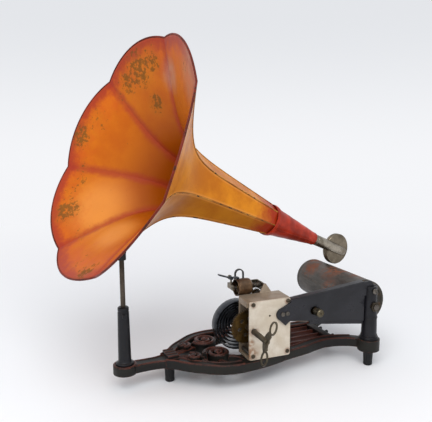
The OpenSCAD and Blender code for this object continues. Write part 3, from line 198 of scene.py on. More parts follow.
def revolve(profile: Profile, steps: int = 72, closed: bool = True
            ) -> tuple[list[Point], list[list[int]]]:
    """Turns an outline about the Z axis.

    Args:
        profile: Points of radius and height round the section.
        steps: Faces round the axis.
        closed: Join the outline's end to its start.

    Returns:
        Vertices and faces.
    """
    n = len(profile)
    points = [(r * math.cos(a), r * math.sin(a), z) for a in angles(steps)
              for r, z in profile]
    faces = [[s * n + i, (s + 1) % steps * n + i, (s + 1) % steps * n + (i + 1) % n,
              s * n + (i + 1) % n] for s in range(steps) for i in range(n if closed else n - 1)]
    return points, faces


def skin_over(rings: int, steps: int) -> list[list[int]]:
    """Joins rings of points that lie one behind the other, and closes both ends.

    Args:
        rings: How many rings there are.
        steps: Points in each ring.

    Returns:
        The faces.
    """
    faces = [[i * steps + s, i * steps + (s + 1) % steps, (i + 1) * steps + (s + 1) % steps,
              (i + 1) * steps + s] for i in range(rings - 1) for s in range(steps)]
    return faces + [list(range(steps)), list(range((rings - 1) * steps, rings * steps))]


def rounded(profile: Profile, radius: float, steps: int = 3) -> Profile:
    """Rounds the corners of a closed outline.

    Args:
        profile: The outline's corners.
        radius: How far from a corner its round starts, at most a third of a side.
        steps: Points on each round, less one.

    Returns:
        The outline with each corner replaced by a short curve.
    """
    curve: Profile = []
    for i, here in enumerate(profile):
        corner = Vector(here)
        if corner.x < 1e-6:
            curve.append(here)
            continue
        sides = [Vector(profile[i - 1]) - corner,
                 Vector(profile[(i + 1) % len(profile)]) - corner]
        cut = min(radius, *(side.length / 3 for side in sides))
        start, end = (corner + side.normalized() * cut for side in sides)
        for f in (k / steps for k in range(steps + 1)):
            spot = start * (1 - f) ** 2 + corner * 2 * f * (1 - f) + end * f ** 2
            curve.append((spot.x, spot.y))
    return curve


def smooth_line(points: Line, steps: int) -> list[list[float]]:
    """Draws a smooth line through points, like the casting's own bands.

    Args:
        points: Points with any number of coordinates.
        steps: Steps from one point to the next.

    Returns:
        The points of the line.
    """
    line = []
    last = len(points) - 1
    for i in range(last):
        near = (points[max(i - 1, 0)], points[i], points[i + 1], points[min(i + 2, last)])
        for t in (k / steps for k in range(steps)):
            line.append([0.5 * (2 * q + (r - p) * t + (2 * p - 5 * q + 4 * r - s) * t * t
                                + (3 * q - p - 3 * r + s) * t ** 3)
                         for p, q, r, s in zip(*near)])
    return line + [list(points[last])]


class Signal:
    """A socket's value, on which sums are written as on plain numbers."""

    def __init__(self, wires: "Wiring", socket: NodeSocket) -> None:
        """Keeps the socket and the wiring that it belongs to."""
        self.wires, self.socket = wires, socket

    def __add__(self, other: Value) -> "Signal":
        """Adds a number or a signal."""
        return self.wires.maths("ADD", self, other)

    def __sub__(self, other: Value) -> "Signal":
        """Takes a number or a signal away."""
        return self.wires.maths("SUBTRACT", self, other)

    def __rsub__(self, other: Value) -> "Signal":
        """Takes this signal away from a number."""
        return self.wires.maths("SUBTRACT", other, self)

    def __mul__(self, other: Value) -> "Signal":
        """Multiplies by a number or a signal."""
        return self.wires.maths("MULTIPLY", self, other)

    def __truediv__(self, other: Value) -> "Signal":
        """Divides by a number or a signal."""
        return self.wires.maths("DIVIDE", self, other)

    def __rtruediv__(self, other: Value) -> "Signal":
        """Divides a number by this signal."""
        return self.wires.maths("DIVIDE", other, self)

    def __pow__(self, other: Value) -> "Signal":
        """Raises to a power."""
        return self.wires.maths("POWER", self, other)

    def __abs__(self) -> "Signal":
        """Drops the sign."""
        return self.wires.maths("ABSOLUTE", self)

    def over(self, other: Value) -> "Signal":
        """Returns the larger of two values."""
        return self.wires.maths("MAXIMUM", self, other)

    @property
    def held(self) -> "Signal":
        """The same sum, kept between 0 and 1."""
        self.socket.node.use_clamp = True
        return self

    __radd__ = __add__
    __rmul__ = __mul__


class Wiring:
    """Adds nodes to a node tree and joins them in one line each."""

    def __init__(self, tree: NodeTree) -> None:
        """Keeps the tree that the nodes go into."""
        self.tree = tree

    def feed(self, socket: NodeSocket, value: Value) -> None:
        """Links a value to an input, or sets the input's own value.

        Args:
            socket: The input.
            value: A signal, a node, a number, a vector, a colour or a code.
        """
        if isinstance(value, Node):
            value = value.outputs[0]
        elif isinstance(value, Signal):
            value = value.socket
        if isinstance(value, NodeSocket):
            self.tree.links.new(value, socket)
        else:
            coded = isinstance(value, str) and value.startswith("#")
            socket.default_value = tone(value) if coded else value

    def add(self, kind: str, inputs: dict | None = None, **settings: Value) -> Node:
        """Adds a node.

        Args:
            kind: The node's class name.
            inputs: Values by input name or number.
            **settings: Properties of the node itself.

        Returns:
            The node.
        """
        node = self.tree.nodes.new(kind)
        for key, value in settings.items():
            setattr(node, key, value)
        for key, value in (inputs or {}).items():
            self.feed(node.inputs[key], value)
        return node

    def read(self, node: Node, output: str | int = 0) -> Signal:
        """Returns what a node puts out, by its output's name or number."""
        return Signal(self, node.outputs[output])

    def get(self, kind: str, inputs: dict | None = None, output: str | int = 0,
            **settings: Value) -> Signal:
        """Adds a node and returns what it puts out, by its output's name or number."""
        return self.read(self.add(kind, inputs, **settings), output)

    def place(self) -> Signal:
        """Returns the Object coordinates, in metres."""
        return self.get("ShaderNodeTexCoord", output="Object")

    def named(self, name: str) -> Signal:
        """Returns a number stored on the mesh under a name."""
        return self.get("ShaderNodeAttribute", output="Fac", attribute_name=name)

    def facing(self) -> Signal:
        """Returns how far a face looks up, from -1 to 1."""
        normal = self.get("ShaderNodeNewGeometry", output="Normal")
        return self.get("ShaderNodeSeparateXYZ", {0: normal}, 2)

    def cloud(self, vector: Value, scale: Value, detail: float, rough: float,
              **more: float) -> Signal:
        """Adds noise from 0 to 1 on given coordinates, with scale clouds to a metre."""
        return self.get("ShaderNodeTexNoise", {"Vector": vector, "Scale": scale,
                                               "Detail": detail, "Roughness": rough, **more})

    def noise(self, scale: float, detail: float = 4.0, rough: float = 0.55,
              stretch: Point = (1, 1, 1), offset: float = 0.0) -> Signal:
        """Adds cloudy noise on Object coordinates.

        Args:
            scale: Clouds to a metre.
            detail: Octaves.
            rough: Strength of the fine octaves.
            stretch: Factors along X, Y and Z.
            offset: Moves the pattern, so that two noises differ.

        Returns:
            The noise, from 0 to 1.
        """
        move = (offset, offset * 0.7, offset * 1.3)
        mapped = self.add("ShaderNodeMapping", {"Vector": self.place(), "Location": move,
                                                "Scale": stretch})
        return self.cloud(mapped, scale, detail, rough)

    def step(self, value: Value, low: float, high: float, out_low: float = 0.0,
             out_high: float = 1.0) -> Signal:
        """Maps low to high smoothly onto another range, and clamps the result."""
        ends = {0: value, 1: low, 2: high, 3: out_low, 4: out_high}
        return self.get("ShaderNodeMapRange", ends, interpolation_type="SMOOTHSTEP")

    def mix(self, amount: Value, a: Value, b: Value) -> Signal:
        """Mixes two colours, from 0 for the first to 1 for the second."""
        return self.get("ShaderNodeMix", {0: amount, 6: a, 7: b}, 2, data_type="RGBA")

    def layers(self, colour: Value, *coats: tuple[Value, Value]) -> Value:
        """Lays coats over a colour, one after another.

        Args:
            colour: What lies lowest.
            *coats: A mask and a colour for each coat.

        Returns:
            The colour that shows.
        """
        for mask, coat in coats:
            colour = self.mix(mask, colour, coat)
        return colour

    def maths(self, way: str, a: Value, b: Value = 0.0) -> Signal:
        """Adds one sum of two numbers, by Blender's name of the operation."""
        return self.get("ShaderNodeMath", {0: a, 1: b}, operation=way)

    def relief(self, height: Value, strength: float, deep: float, **more: Value) -> Node:
        """Adds a relief that rises by deep millimetres where height is 1."""
        return self.add("ShaderNodeBump", {"Strength": strength, "Distance": deep * MM,
                                           "Height": height, **more})


class Effect(Enum):
    """The surface effects that several finishes share, each one node group."""

    EDGE_WEAR = "edge_wear"
    GRAIN = "grain"
    DUST = "dust"
    SPECKLE = "speckle"


class Effects:
    """Builds each shared node group once and places it in materials."""

    def __init__(self) -> None:
        """Starts with no group built."""
        self.built: dict[Effect, NodeTree] = {}

    def use(self, w: Wiring, effect: Effect, **values: Value) -> Node:
        """Places an effect in a material.

        Args:
            w: The material's wiring.
            effect: Which effect.
            **values: The group's inputs, by name.

        Returns:
            The group node.
        """
        if effect not in self.built:
            self.built[effect] = getattr(self, effect.value)()
        return w.add("ShaderNodeGroup", node_tree=self.built[effect], inputs=values)

    def mask(self, w: Wiring, effect: Effect, **values: Value) -> Signal:
        """Places an effect in a material and returns its mask."""
        return w.read(self.use(w, effect, **values), "Mask")

    @staticmethod
    def start(name: str, inputs: dict[str, float]) -> tuple[Wiring, list[Signal]]:
        """Starts a node group with its number inputs.

        Args:
            name: The group's name.
            inputs: Number inputs and their usual values.

        Returns:
            The wiring and the inputs' signals.
        """
        tree = bpy.data.node_groups.new(name, "ShaderNodeTree")
        for key, value in inputs.items():
            tree.interface.new_socket(key, in_out="INPUT",
                                      socket_type="NodeSocketFloat").default_value = value
        w = Wiring(tree)
        inlet = tree.nodes.new("NodeGroupInput")
        return w, [w.read(inlet, key) for key in inputs]

    @staticmethod
    def end(w: Wiring, **outputs: Value) -> NodeTree:
        """Ends a node group: Normal carries a vector, and all else a number.

        Args:
            w: The group's wiring.
            **outputs: What it puts out, by name.

        Returns:
            The group.
        """
        for key in outputs:
            kind = "NodeSocketVector" if key == "Normal" else "NodeSocketFloat"
            w.tree.interface.new_socket(key, in_out="OUTPUT", socket_type=kind)
        w.add("NodeGroupOutput", outputs)
        return w.tree

    def edge_wear(self) -> NodeTree:
        """Builds the wear along edges.

        Returns:
            A group with a mask, and a normal that rounds the edges.
        """
        w, (radius, amount, scale) = self.start(
            "edge_wear", {"Radius": 0.0006, "Amount": 0.5, "Scale": 420.0})
        soft = w.get("ShaderNodeBevel", {"Radius": radius}, samples=6)
        flat = w.get("ShaderNodeNewGeometry", output="Normal")
        lean = w.get("ShaderNodeVectorMath", {0: soft, 1: flat}, "Value",
                     operation="DOT_PRODUCT")
        rubbed = w.step(w.cloud(w.place(), scale, 5.0, 0.6), 0.38, 0.62)
        return self.end(w, Mask=(w.step(lean, 0.995, 0.86) * rubbed * amount).held,
                        Normal=soft)

    def grain(self) -> NodeTree:
        """Builds grain in the surface.

        Returns:
            A group with fine and broad grain, each from 0 to 1.
        """
        w, (scale, stretch) = self.start("grain", {"Scale": 900.0, "Stretch": 1.0})
        long = w.get("ShaderNodeCombineXYZ", {0: stretch, 1: 1.0, 2: 1.0})
        place = w.get("ShaderNodeVectorMath", {0: w.place(), 1: long}, operation="MULTIPLY")
        return self.end(w, Fine=w.cloud(place, scale, 3.0, 0.6),
                        Broad=w.cloud(place, scale * 0.07, 4.0, 0.6, Distortion=0.4))

    def dust(self) -> NodeTree:
        """Builds the dust that lies on faces that look up.

        Returns:
            A group with a mask.
        """
        w, (amount, scale) = self.start("dust", {"Amount": 0.3, "Scale": 60.0})
        up = w.step(w.facing(), 0.25, 0.95)
        lying = up * w.step(w.cloud(w.place(), scale, 6.0, 0.7), 0.34, 0.74)
        return self.end(w, Mask=(lying * amount).held)

    def speckle(self) -> NodeTree:
        """Builds scattered small spots with ragged edges.

        Returns:
            A group with a mask.
        """
        w, (scale, cover) = self.start("speckle", {"Scale": 300.0, "Cover": 0.4})
        over = w.cloud(w.place(), scale, 7.0, 0.72) - (0.78 - cover * 0.4)
        return self.end(w, Mask=w.step(over, 0.0, 0.035))


EFFECTS = Effects()


@dataclass(frozen=True)
class Finish:
    """A finish that is wired once and shared by every piece that wears it."""

    name: str

    def material(self) -> Material:
        """Finds the finish's material, and wires it the first time.

        Returns:
            The material.
        """
        made = bpy.data.materials.get(self.name)
        if not made:
            made = bpy.data.materials.new(self.name)
            made.use_nodes = True
            made.node_tree.nodes.clear()
            w = Wiring(made.node_tree)
            shader = w.add("ShaderNodeBsdfPrincipled", self.wire(w))
            w.add("ShaderNodeOutputMaterial", {0: self.surface(w, shader)})
        return made

    def wire(self, w: Wiring) -> Inputs:
        """Wires the finish.

        Args:
            w: The material's wiring.

        Returns:
            The shader's inputs, by name.
        """
        raise NotImplementedError

    def surface(self, w: Wiring, shader: Node) -> Node:
        """Returns what the material shows, which is the shader itself."""
        return shader


def patches(w: Wiring, spots: Spots) -> Signal:
    """Adds soft round areas at given places, for stains and worn spots.

    Args:
        w: The material's wiring.
        spots: X, Y, Z and radius of each, in millimetres.

    Returns:
        A mask that is 1 in the middle of each area.
    """
    masks = []
    here = w.place()
    for x, y, z, radius in spots:
        away = w.get("ShaderNodeVectorMath", {0: here, 1: (x * MM, y * MM, z * MM)}, "Value",
                     operation="DISTANCE")
        masks.append(w.step(away, radius * 1.2 * MM, radius * 0.3 * MM))
    total = masks[0]
    for mask in masks[1:]:
        total = total.over(mask)
    return total


@dataclass(frozen=True)
class WornSurface(Finish):
    """A worn metal with grain, rubbed edges, spots and dust."""

    base: str = "#808080"
    shade: str = "#606060"
    edge: str = "#a0a0a0"
    metallic: float = 0.95
    rough: tuple[float, float] = (0.3, 0.46)
    grain: float = 900.0
    stretch: float = 1.0
    wear: float = 0.6
    wear_radius: float = 0.6
    spots: float = 0.0
    spot_tone: str = "#4a3a2c"
    dust: float = 0.1
    dust_tone: str = "#8f877b"
    bump: float = 0.12
    coat: float = 0.0
    shine: float = 0.5
    stains: Spots = ()
    stain_tone: str = "#5a3c28"

    def wire(self, w: Wiring) -> Inputs:
        """Wires colour, roughness, metal and relief from the shared effects.

        Args:
            w: The material's wiring.

        Returns:
            The shader's inputs, by name.
        """
        grain = EFFECTS.use(w, Effect.GRAIN, Scale=self.grain, Stretch=self.stretch)
        fine, broad = w.read(grain, "Fine"), w.read(grain, "Broad")
        worn = EFFECTS.use(w, Effect.EDGE_WEAR, Radius=self.wear_radius * MM,
                           Amount=self.wear)
        dust = EFFECTS.mask(w, Effect.DUST, Amount=self.dust)
        colour = w.mix(w.step(broad, 0.36, 0.64), self.base, self.shade)
        coats = [(w.step(fine, 0.3, 0.75, 0.0, 0.3), self.shade)]
        if self.spots:
            coats.append((EFFECTS.mask(w, Effect.SPECKLE, Scale=self.grain * 0.3,
                                       Cover=self.spots), self.spot_tone))
        if self.stains:
            cloud = w.step(w.noise(260, offset=3.0), 0.3, 0.62)
            coats.append((patches(w, self.stains) * cloud, self.stain_tone))
        coats += [(worn, self.edge), (dust, self.dust_tone)]
        return {"Base Color": w.layers(colour, *coats),
                "Roughness": (w.step(broad, 0.3, 0.7, *self.rough) + dust * 0.35).held,
                "Metallic": (1.0 - dust) * self.metallic if self.metallic else 0.0,
                "Specular IOR Level": self.shine, "Coat Weight": self.coat,
                "Coat Roughness": 0.22,
                "Normal": w.relief(fine, self.bump, 0.4, Normal=w.read(worn, "Normal"))}


@dataclass(frozen=True)
class Enamel(WornSurface):
    """A worn enamel, paint or rubber, which has no metal in its look."""

    metallic: float = 0.0


@dataclass(frozen=True)
class HornPaint(Finish):
    """The bell's hand-sprayed paint: golden petals with crimson edges, worn spots, and painted
    light and shade.

    The bell stores its distance from the rim and the seams, its place along the horn and
    its inside on the mesh, all in millimetres or from 0 to 1.
    """

    gold: str = "#da8818"
    gold_deep: str = "#bf6c10"
    inside_gold: str = "#cc700c"
    inside_warm: str = "#bd5d08"
    # Painted shade deep inside the bell.
    throat_shade: str = "#934400"
    thin_gold: str = "#a06a14"
    # Painted highlight colour, for the lit lower petals and beside the outer seams.
    highlight_gold: str = "#e69a4a"
    # Painted shade on the outer skin where it faces down.
    underside_shade: str = "#6e4014"
    blush: str = "#bf4c16"
    crimson: str = "#9a3220"
    seam_line: str = "#5a3216"
    neck_red: str = "#a02a14"
    worn_tone: str = "#674819"
    # Painted sheen colour, laid on the upper inner petals.
    sheen_tone: str = "#b48a76"
    edge: str = "#5a2c1a"
    worn: Spots = ((-13, 44, 304.5, 26), (-6, 27, 311, 18), (-19, 62, 294, 18),
                   (0, 30, 272, 14), (-63, 103, 240, 18), (-84.5, 69, 167, 20),
                   (-83.5, -32, 130, 14))
    lit_patches: Spots = ((-58, 48, 174, 40), (-50, 2, 156, 26))
    sheen_spots: Spots = ((0, -77, 296, 40), (6, -2, 297, 18))

    def sprayed(self, w: Wiring, mist: Signal, inside: Signal) -> Signal:
        """Wires the sprayed bands, the neck's red, and painted shade and highlights over them.

        Args:
            w: The material's wiring.
            mist: Fine clouds.
            inside: Where the bell's inner skin is.

        Returns:
            The paint's colour with its painted light and shade, before it wore.
        """
        rim, seam, along = w.named("rim"), w.named("seam"), w.named("along")
        outside = 1.0 - inside
        cloud = w.step(w.noise(28, 5, 0.6), 0.35, 0.68)
        drift = w.step(mist, 0.2, 0.8, -5.0, 5.0)
        strong = 0.2 + inside * 0.8
        return w.layers(
            w.mix(cloud, self.gold, self.gold_deep),
            (inside, w.mix(cloud, self.inside_gold, self.inside_warm)),
            # Painted shade: the inner skin darkens from the rim towards the neck.
            (w.step(along, 0, 70) * inside * 0.95, self.throat_shade),
            # Painted light: the lower inner petals, which face up, are paler.
            (patches(w, self.lit_patches) * inside * 0.55, self.highlight_gold),
            # Painted shade: outer faces that look down get a darker gold.
            (w.step(w.facing(), -0.25, -0.9) * outside * 0.6, self.underside_shade),
            (w.step(rim + drift * 1.6, 24, 1) * 0.6 * strong, self.blush),
            (w.step(rim + drift * 0.6, 8, 1) * 0.85 * strong, self.crimson),
            (w.step(seam + drift * 0.35, 8, 0.5) * 0.72 * inside, self.crimson),
            # Painted highlight: a pale band beside each outer seam.
            (w.step(seam, 3.4, 1.2) * 0.45 * outside, self.highlight_gold),
            (w.step(seam, 1.15, 0.6) * outside * 0.8, self.seam_line),
            (w.step(along + drift * 1.6, 150, 182) * 0.95, self.neck_red))

    def wire(self, w: Wiring) -> Inputs:
        """Wires the sprayed colours, and the painted sheen and the wear on the inside.

        Args:
            w: The material's wiring.

        Returns:
            The shader's inputs, by name.
        """
        rim, inside = w.named("rim"), w.named("inside")
        mist = w.noise(95, 5, 0.65, offset=2.0)
        # Painted sheen: pinkish pale patches on the upper inner petals.
        sheen_mask = patches(w, self.sheen_spots) * w.step(mist, 0.25, 0.75, 0.2, 0.7) * inside
        near_rim = w.step(rim, 2, 7) * w.step(rim, 26, 10)
        patchy = w.step(w.noise(36, 3, 0.6, offset=8.0), 0.46, 0.62)
        area = patches(w, self.worn).over(near_rim * patchy * 0.55) * inside
        ragged = EFFECTS.mask(w, Effect.SPECKLE, Scale=210.0, Cover=0.27 + area * 0.5)
        fly = EFFECTS.mask(w, Effect.SPECKLE, Scale=430.0, Cover=0.33)
        rubbed = (ragged * 0.74).over(fly * 0.5)
        worn = EFFECTS.use(w, Effect.EDGE_WEAR, Radius=0.8 * MM, Amount=0.35)
        colour = w.layers(self.sprayed(w, mist, inside), (sheen_mask, self.sheen_tone),
                          (area * 0.22, self.thin_gold), (rubbed, self.worn_tone),
                          (worn, self.edge))
        height = w.noise(700, 3, 0.6, offset=5.0) - rubbed * 0.8
        return {"Base Color": colour,
                "Roughness": w.step(mist, 0.25, 0.75, 0.3, 0.44) + rubbed * 0.3,
                "Specular IOR Level": 0.13, "Coat Weight": 0.03, "Coat Roughness": 0.3,
                "Normal": w.relief(height, 0.1, 0.5, Normal=w.read(worn, "Normal"))}


@dataclass(frozen=True)
class MandrelPatina(Finish):
    """Old nickel gone grey-brown, with rust that comes through in patches."""

    base: str = "#625d57"
    shade: str = "#474440"
    streaks: str = "#33302d"
    rust: str = "#7d4426"
    dust: str = "#857c72"
    edge: str = "#a59b8e"
    rusty: Spots = ((205, 20, 88, 22), (214, -12, 84, 16), (192, 55, 84, 16),
                    (205, 70, 84, 12), (186, 5, 70, 14))

    def wire(self, w: Wiring) -> Inputs:
        """Wires the patina's clouds, the rust and its duller, rougher skin.

        Args:
            w: The material's wiring.

        Returns:
            The shader's inputs, by name.
        """
        cloud = w.noise(60, 6, 0.65, (1, 0.35, 1))
        streak = w.noise(420, 4, 0.6, (1, 0.08, 1), 4.0)
        spots = EFFECTS.mask(w, Effect.SPECKLE, Scale=190.0, Cover=0.75)
        dots = EFFECTS.mask(w, Effect.SPECKLE, Scale=520.0, Cover=0.3)
        rust = patches(w, self.rusty) * spots.over(w.step(cloud, 0.42, 0.62))
        rust = (rust * 0.85).over(dots * 0.35)
        dust = EFFECTS.mask(w, Effect.DUST, Amount=0.22)
        worn = EFFECTS.use(w, Effect.EDGE_WEAR, Radius=0.5 * MM, Amount=0.5)
        colour = w.layers(w.mix(w.step(cloud, 0.35, 0.66), self.base, self.shade),
                          (w.step(streak, 0.3, 0.75, 0.0, 0.4), self.streaks),
                          (rust, self.rust), (dust, self.dust), (worn, self.edge))
        dull = rust * 0.35 + dust * 0.3
        return {"Base Color": colour,
                "Roughness": (w.step(cloud, 0.3, 0.7, 0.36, 0.5) + dull).held,
                "Metallic": (0.8 - rust * 0.7).held,
                "Normal": w.relief(streak * 0.4 + rust * 0.5, 0.16, 0.4,
                                   Normal=w.read(worn, "Normal"))}


@dataclass(frozen=True)
class Leather(Finish):
    """Dark oiled leather: pebbled grain, and paler where it has run over its wheels."""

    base: str = "#33241a"
    shade: str = "#1d1511"
    edge: str = "#6b4a31"

    def wire(self, w: Wiring) -> Inputs:
        """Wires the grain as a cell pattern under a soft sheen.

        Args:
            w: The material's wiring.

        Returns:
            The shader's inputs, by name.
        """
        cells = w.get("ShaderNodeTexVoronoi", {"Vector": w.place(), "Scale": 1500.0},
                      "Distance", feature="DISTANCE_TO_EDGE")
        cloud = w.noise(240, 5, 0.6)
        worn = EFFECTS.mask(w, Effect.EDGE_WEAR, Radius=0.4 * MM, Amount=0.7)
        colour = w.mix(w.step(cloud, 0.3, 0.7), self.base, self.shade)
        return {"Base Color": w.mix(worn, colour, self.edge),
                "Roughness": w.step(cloud, 0.3, 0.7, 0.5, 0.68), "Sheen Weight": 0.1,
                "Normal": w.relief(w.step(cells, 0.0, 0.12), 0.4, 0.3)}


@dataclass(frozen=True)
class Mica(Finish):
    """A thin sheet of clear mica with faint flakes and a warm tint."""

    base: str = "#d8d0bb"
    shade: str = "#b5a98e"

    def wire(self, w: Wiring) -> Inputs:
        """Wires the tint and the flakes' slight roughness.

        Args:
            w: The material's wiring.

        Returns:
            The shader's inputs, by name.
        """
        flakes = w.noise(130, 5, 0.7)
        return {"Base Color": w.mix(w.step(flakes, 0.4, 0.7), self.base, self.shade),
                "Roughness": w.step(flakes, 0.3, 0.7, 0.08, 0.24),
                "Transmission Weight": 0.6, "IOR": 1.56}


@dataclass(frozen=True)
class Palette:
    """Every finish that the object wears: its name, two tones, its edges and its wear."""

    bell: Finish = HornPaint("bell_paint")
    cone: Finish = Enamel(
        "cone_paint", "#bd361a", "#8a2412", "#5a2214", rough=(0.32, 0.46), grain=620, wear=0.8,
        spots=0.3, spot_tone="#4b2317", dust=0.02, dust_tone="#b0685a", bump=0.08, coat=0.05,
        shine=0.18)
    rim_wire: Finish = Enamel(
        "rim_wire_paint", "#7a2a1a", "#561d12", "#3c1a10", rough=(0.34, 0.5), grain=500,
        spots=0.5, spot_tone="#33201a", dust=0.04, dust_tone="#a4604e", shine=0.15)
    # The raised seams' paint, made paler than the bell as a painted highlight on the ridges.
    seam_ridge: Finish = Enamel(
        "seam_ridge_paint_highlit", "#cf9038", "#96591c", "#6d4318", rough=(0.36, 0.5), grain=520,
        spots=0.55, spot_tone="#3b2817", dust=0.06, dust_tone="#d2a25e", shine=0.2)
    iron: Finish = Enamel(
        "cast_enamel", "#0d0b0b", "#181610", "#633022", rough=(0.34, 0.56), grain=480, wear=1.0,
        wear_radius=1.2, spots=0.2, spot_tone="#3a2a22", dust=0.06, dust_tone="#5c554c",
        bump=0.3, shine=0.28)
    iron_bead: Finish = Enamel(
        "bronzed_bead", "#512417", "#1d100d", "#8e4a36", rough=(0.36, 0.56), grain=420,
        wear=0.9, wear_radius=0.5, spots=0.4, spot_tone="#1c191a", dust=0.05,
        dust_tone="#6b5a4e", bump=0.25, shine=0.35)
    strings: Finish = Enamel(
        "string_bronze", "#55291e", "#2c1813", "#8e4c39", rough=(0.34, 0.52), grain=520,
        wear=0.8, spots=0.3, spot_tone="#241c1b", dust=0.06, dust_tone="#6e6055", bump=0.2,
        shine=0.35)
    black_steel: Finish = Enamel(
        "black_enamel", "#0e0e10", "#09090b", "#3a3432", rough=(0.28, 0.44), grain=700,
        wear=0.5, wear_radius=0.5, dust=0.07, dust_tone="#6a6664", shine=0.3)
    socket: Finish = Enamel(
        "socket_enamel", "#14141a", "#0c0c10", "#4a4542", grain=620, wear=0.5, wear_radius=0.5,
        dust=0.07, dust_tone="#74716f", bump=0.14, shine=0.3)
    arm: Finish = Enamel(
        "arm_enamel", "#1f1f24", "#17171b", "#09090b", rough=(0.26, 0.4), grain=560, wear=0.7,
        wear_radius=0.7, spots=0.12, spot_tone="#5a5552", dust=0.05, dust_tone="#7c7a80",
        bump=0.1, shine=0.32)
    steel: Finish = WornSurface(
        "dull_steel", "#6f6a64", "#4f4943", "#9c958b", grain=1300, stretch=0.25, wear=0.5,
        wear_radius=0.3, spots=0.3, spot_tone="#4e4034")
    rod: Finish = WornSurface(
        "rod_steel", "#544a40", "#3a322a", "#756a5e", metallic=0.8, rough=(0.36, 0.52),
        grain=800, wear=0.3, spots=0.5, spot_tone="#45372c")
    blue_steel: Finish = WornSurface(
        "blued_steel", "#3e4147", "#23262b", "#74777c", rough=(0.22, 0.36), wear=0.5,
        wear_radius=0.3, spots=0.25, spot_tone="#3c2f28", dust=0.08)
    nickel: Finish = WornSurface(
        "aged_nickel", "#857a69", "#655b4c", "#b5ab9a", metallic=0.9, rough=(0.3, 0.44),
        grain=850, wear=0.5, wear_radius=0.4, spots=0.42, spot_tone="#5f5444", dust=0.08,
        dust_tone="#a0968a")
    # A lighter copy of the aged nickel: painted highlight on the sound tube.
    tube: Finish = WornSurface(
        "tube_nickel_lit", "#a59c8e", "#7c7365", "#d6cec0", rough=(0.22, 0.36), wear_radius=0.5,
        spots=0.35, spot_tone="#5a5042", dust=0.06, dust_tone="#a0968a")
    brass: Finish = WornSurface(
        "dull_brass", "#725a30", "#45341d", "#a8884e", wear_radius=0.25, spots=0.4,
        spot_tone="#4a3620", dust=0.12)
    bronze: Finish = WornSurface(
        "cup_bronze", "#7d6249", "#503d2d", "#ab8c6a", metallic=0.9, rough=(0.28, 0.42),
        wear_radius=0.3, spots=0.36, spot_tone="#453426", dust=0.12)
    key: Finish = WornSurface(
        "key_bronze", "#645c4a", "#423b2f", "#94886c", metallic=0.85, grain=760, wear=0.7,
        wear_radius=0.35, spots=0.4, spot_tone="#463c2a")
    cream: Finish = WornSurface(
        "cream_plate", "#d2c9ba", "#bdb09c", "#9c8a70", metallic=0.12, rough=(0.38, 0.54),
        grain=520, wear=0.8, wear_radius=0.4, spots=0.2, spot_tone="#9c8d78", dust=0.06,
        dust_tone="#cfc6b8", bump=0.08, stains=((70, -42, 33, 9), (71.7, -42, 30.3, 4.4),
        (108.8, -42, 30.3, 4.4), (71.7, -42, 82, 4.4), (108.8, -42, 82, 4.4),
        (72.5, -42, 55.3, 6.5), (69, -42, 44, 5)), stain_tone="#8d6a50")
    case: Finish = WornSurface(
        "case_plate", "#a0917f", "#83735f", "#7c6a55", metallic=0.35, rough=(0.36, 0.52),
        grain=480, wear=0.8, wear_radius=0.5, spots=0.35, spot_tone="#6f5f4c", dust=0.16,
        dust_tone="#b5ab9b", bump=0.1)
    screw: Finish = WornSurface(
        "screw_steel", "#5f5849", "#40392f", "#8f8571", metallic=0.85, rough=(0.36, 0.5),
        grain=1200, wear_radius=0.25, spots=0.5, spot_tone="#332a20")
    bright_screw: Finish = WornSurface(
        "bright_screw", "#77716a", "#4e4942", "#a8a196", rough=(0.26, 0.4), grain=1200,
        wear_radius=0.25, spots=0.3, spot_tone="#5f564a")
    mandrel: Finish = MandrelPatina("mandrel_patina")
    mandrel_end: Finish = WornSurface(
        "mandrel_end", "#56524b", "#3a3732", "#7e776c", metallic=0.75, rough=(0.36, 0.5),
        grain=620, wear_radius=0.4, spots=0.5, spot_tone="#5c4630", dust=0.12)
    belt: Finish = Leather("belt_leather")
    strap: Finish = WornSurface(
        "strap_black", "#1c1b1c", "#131214", "#4a4642", metallic=0.2, rough=(0.34, 0.5),
        wear=0.5, wear_radius=0.3, dust=0.15)
    gasket: Finish = Enamel(
        "gasket_rubber", "#6d3a30", "#4c2821", "#7e4a3e", rough=(0.6, 0.78), wear=0.4,
        dust=0.25)
    mica: Finish = Mica("mica_sheet")
    jewel: Finish = WornSurface(
        "stylus_bar", "#c9c2b4", "#a49c8d", "#e0d9ca", metallic=0.85, rough=(0.16, 0.28),
        grain=1600, wear=0.4, wear_radius=0.2, dust=0.06)


COATS = Palette()


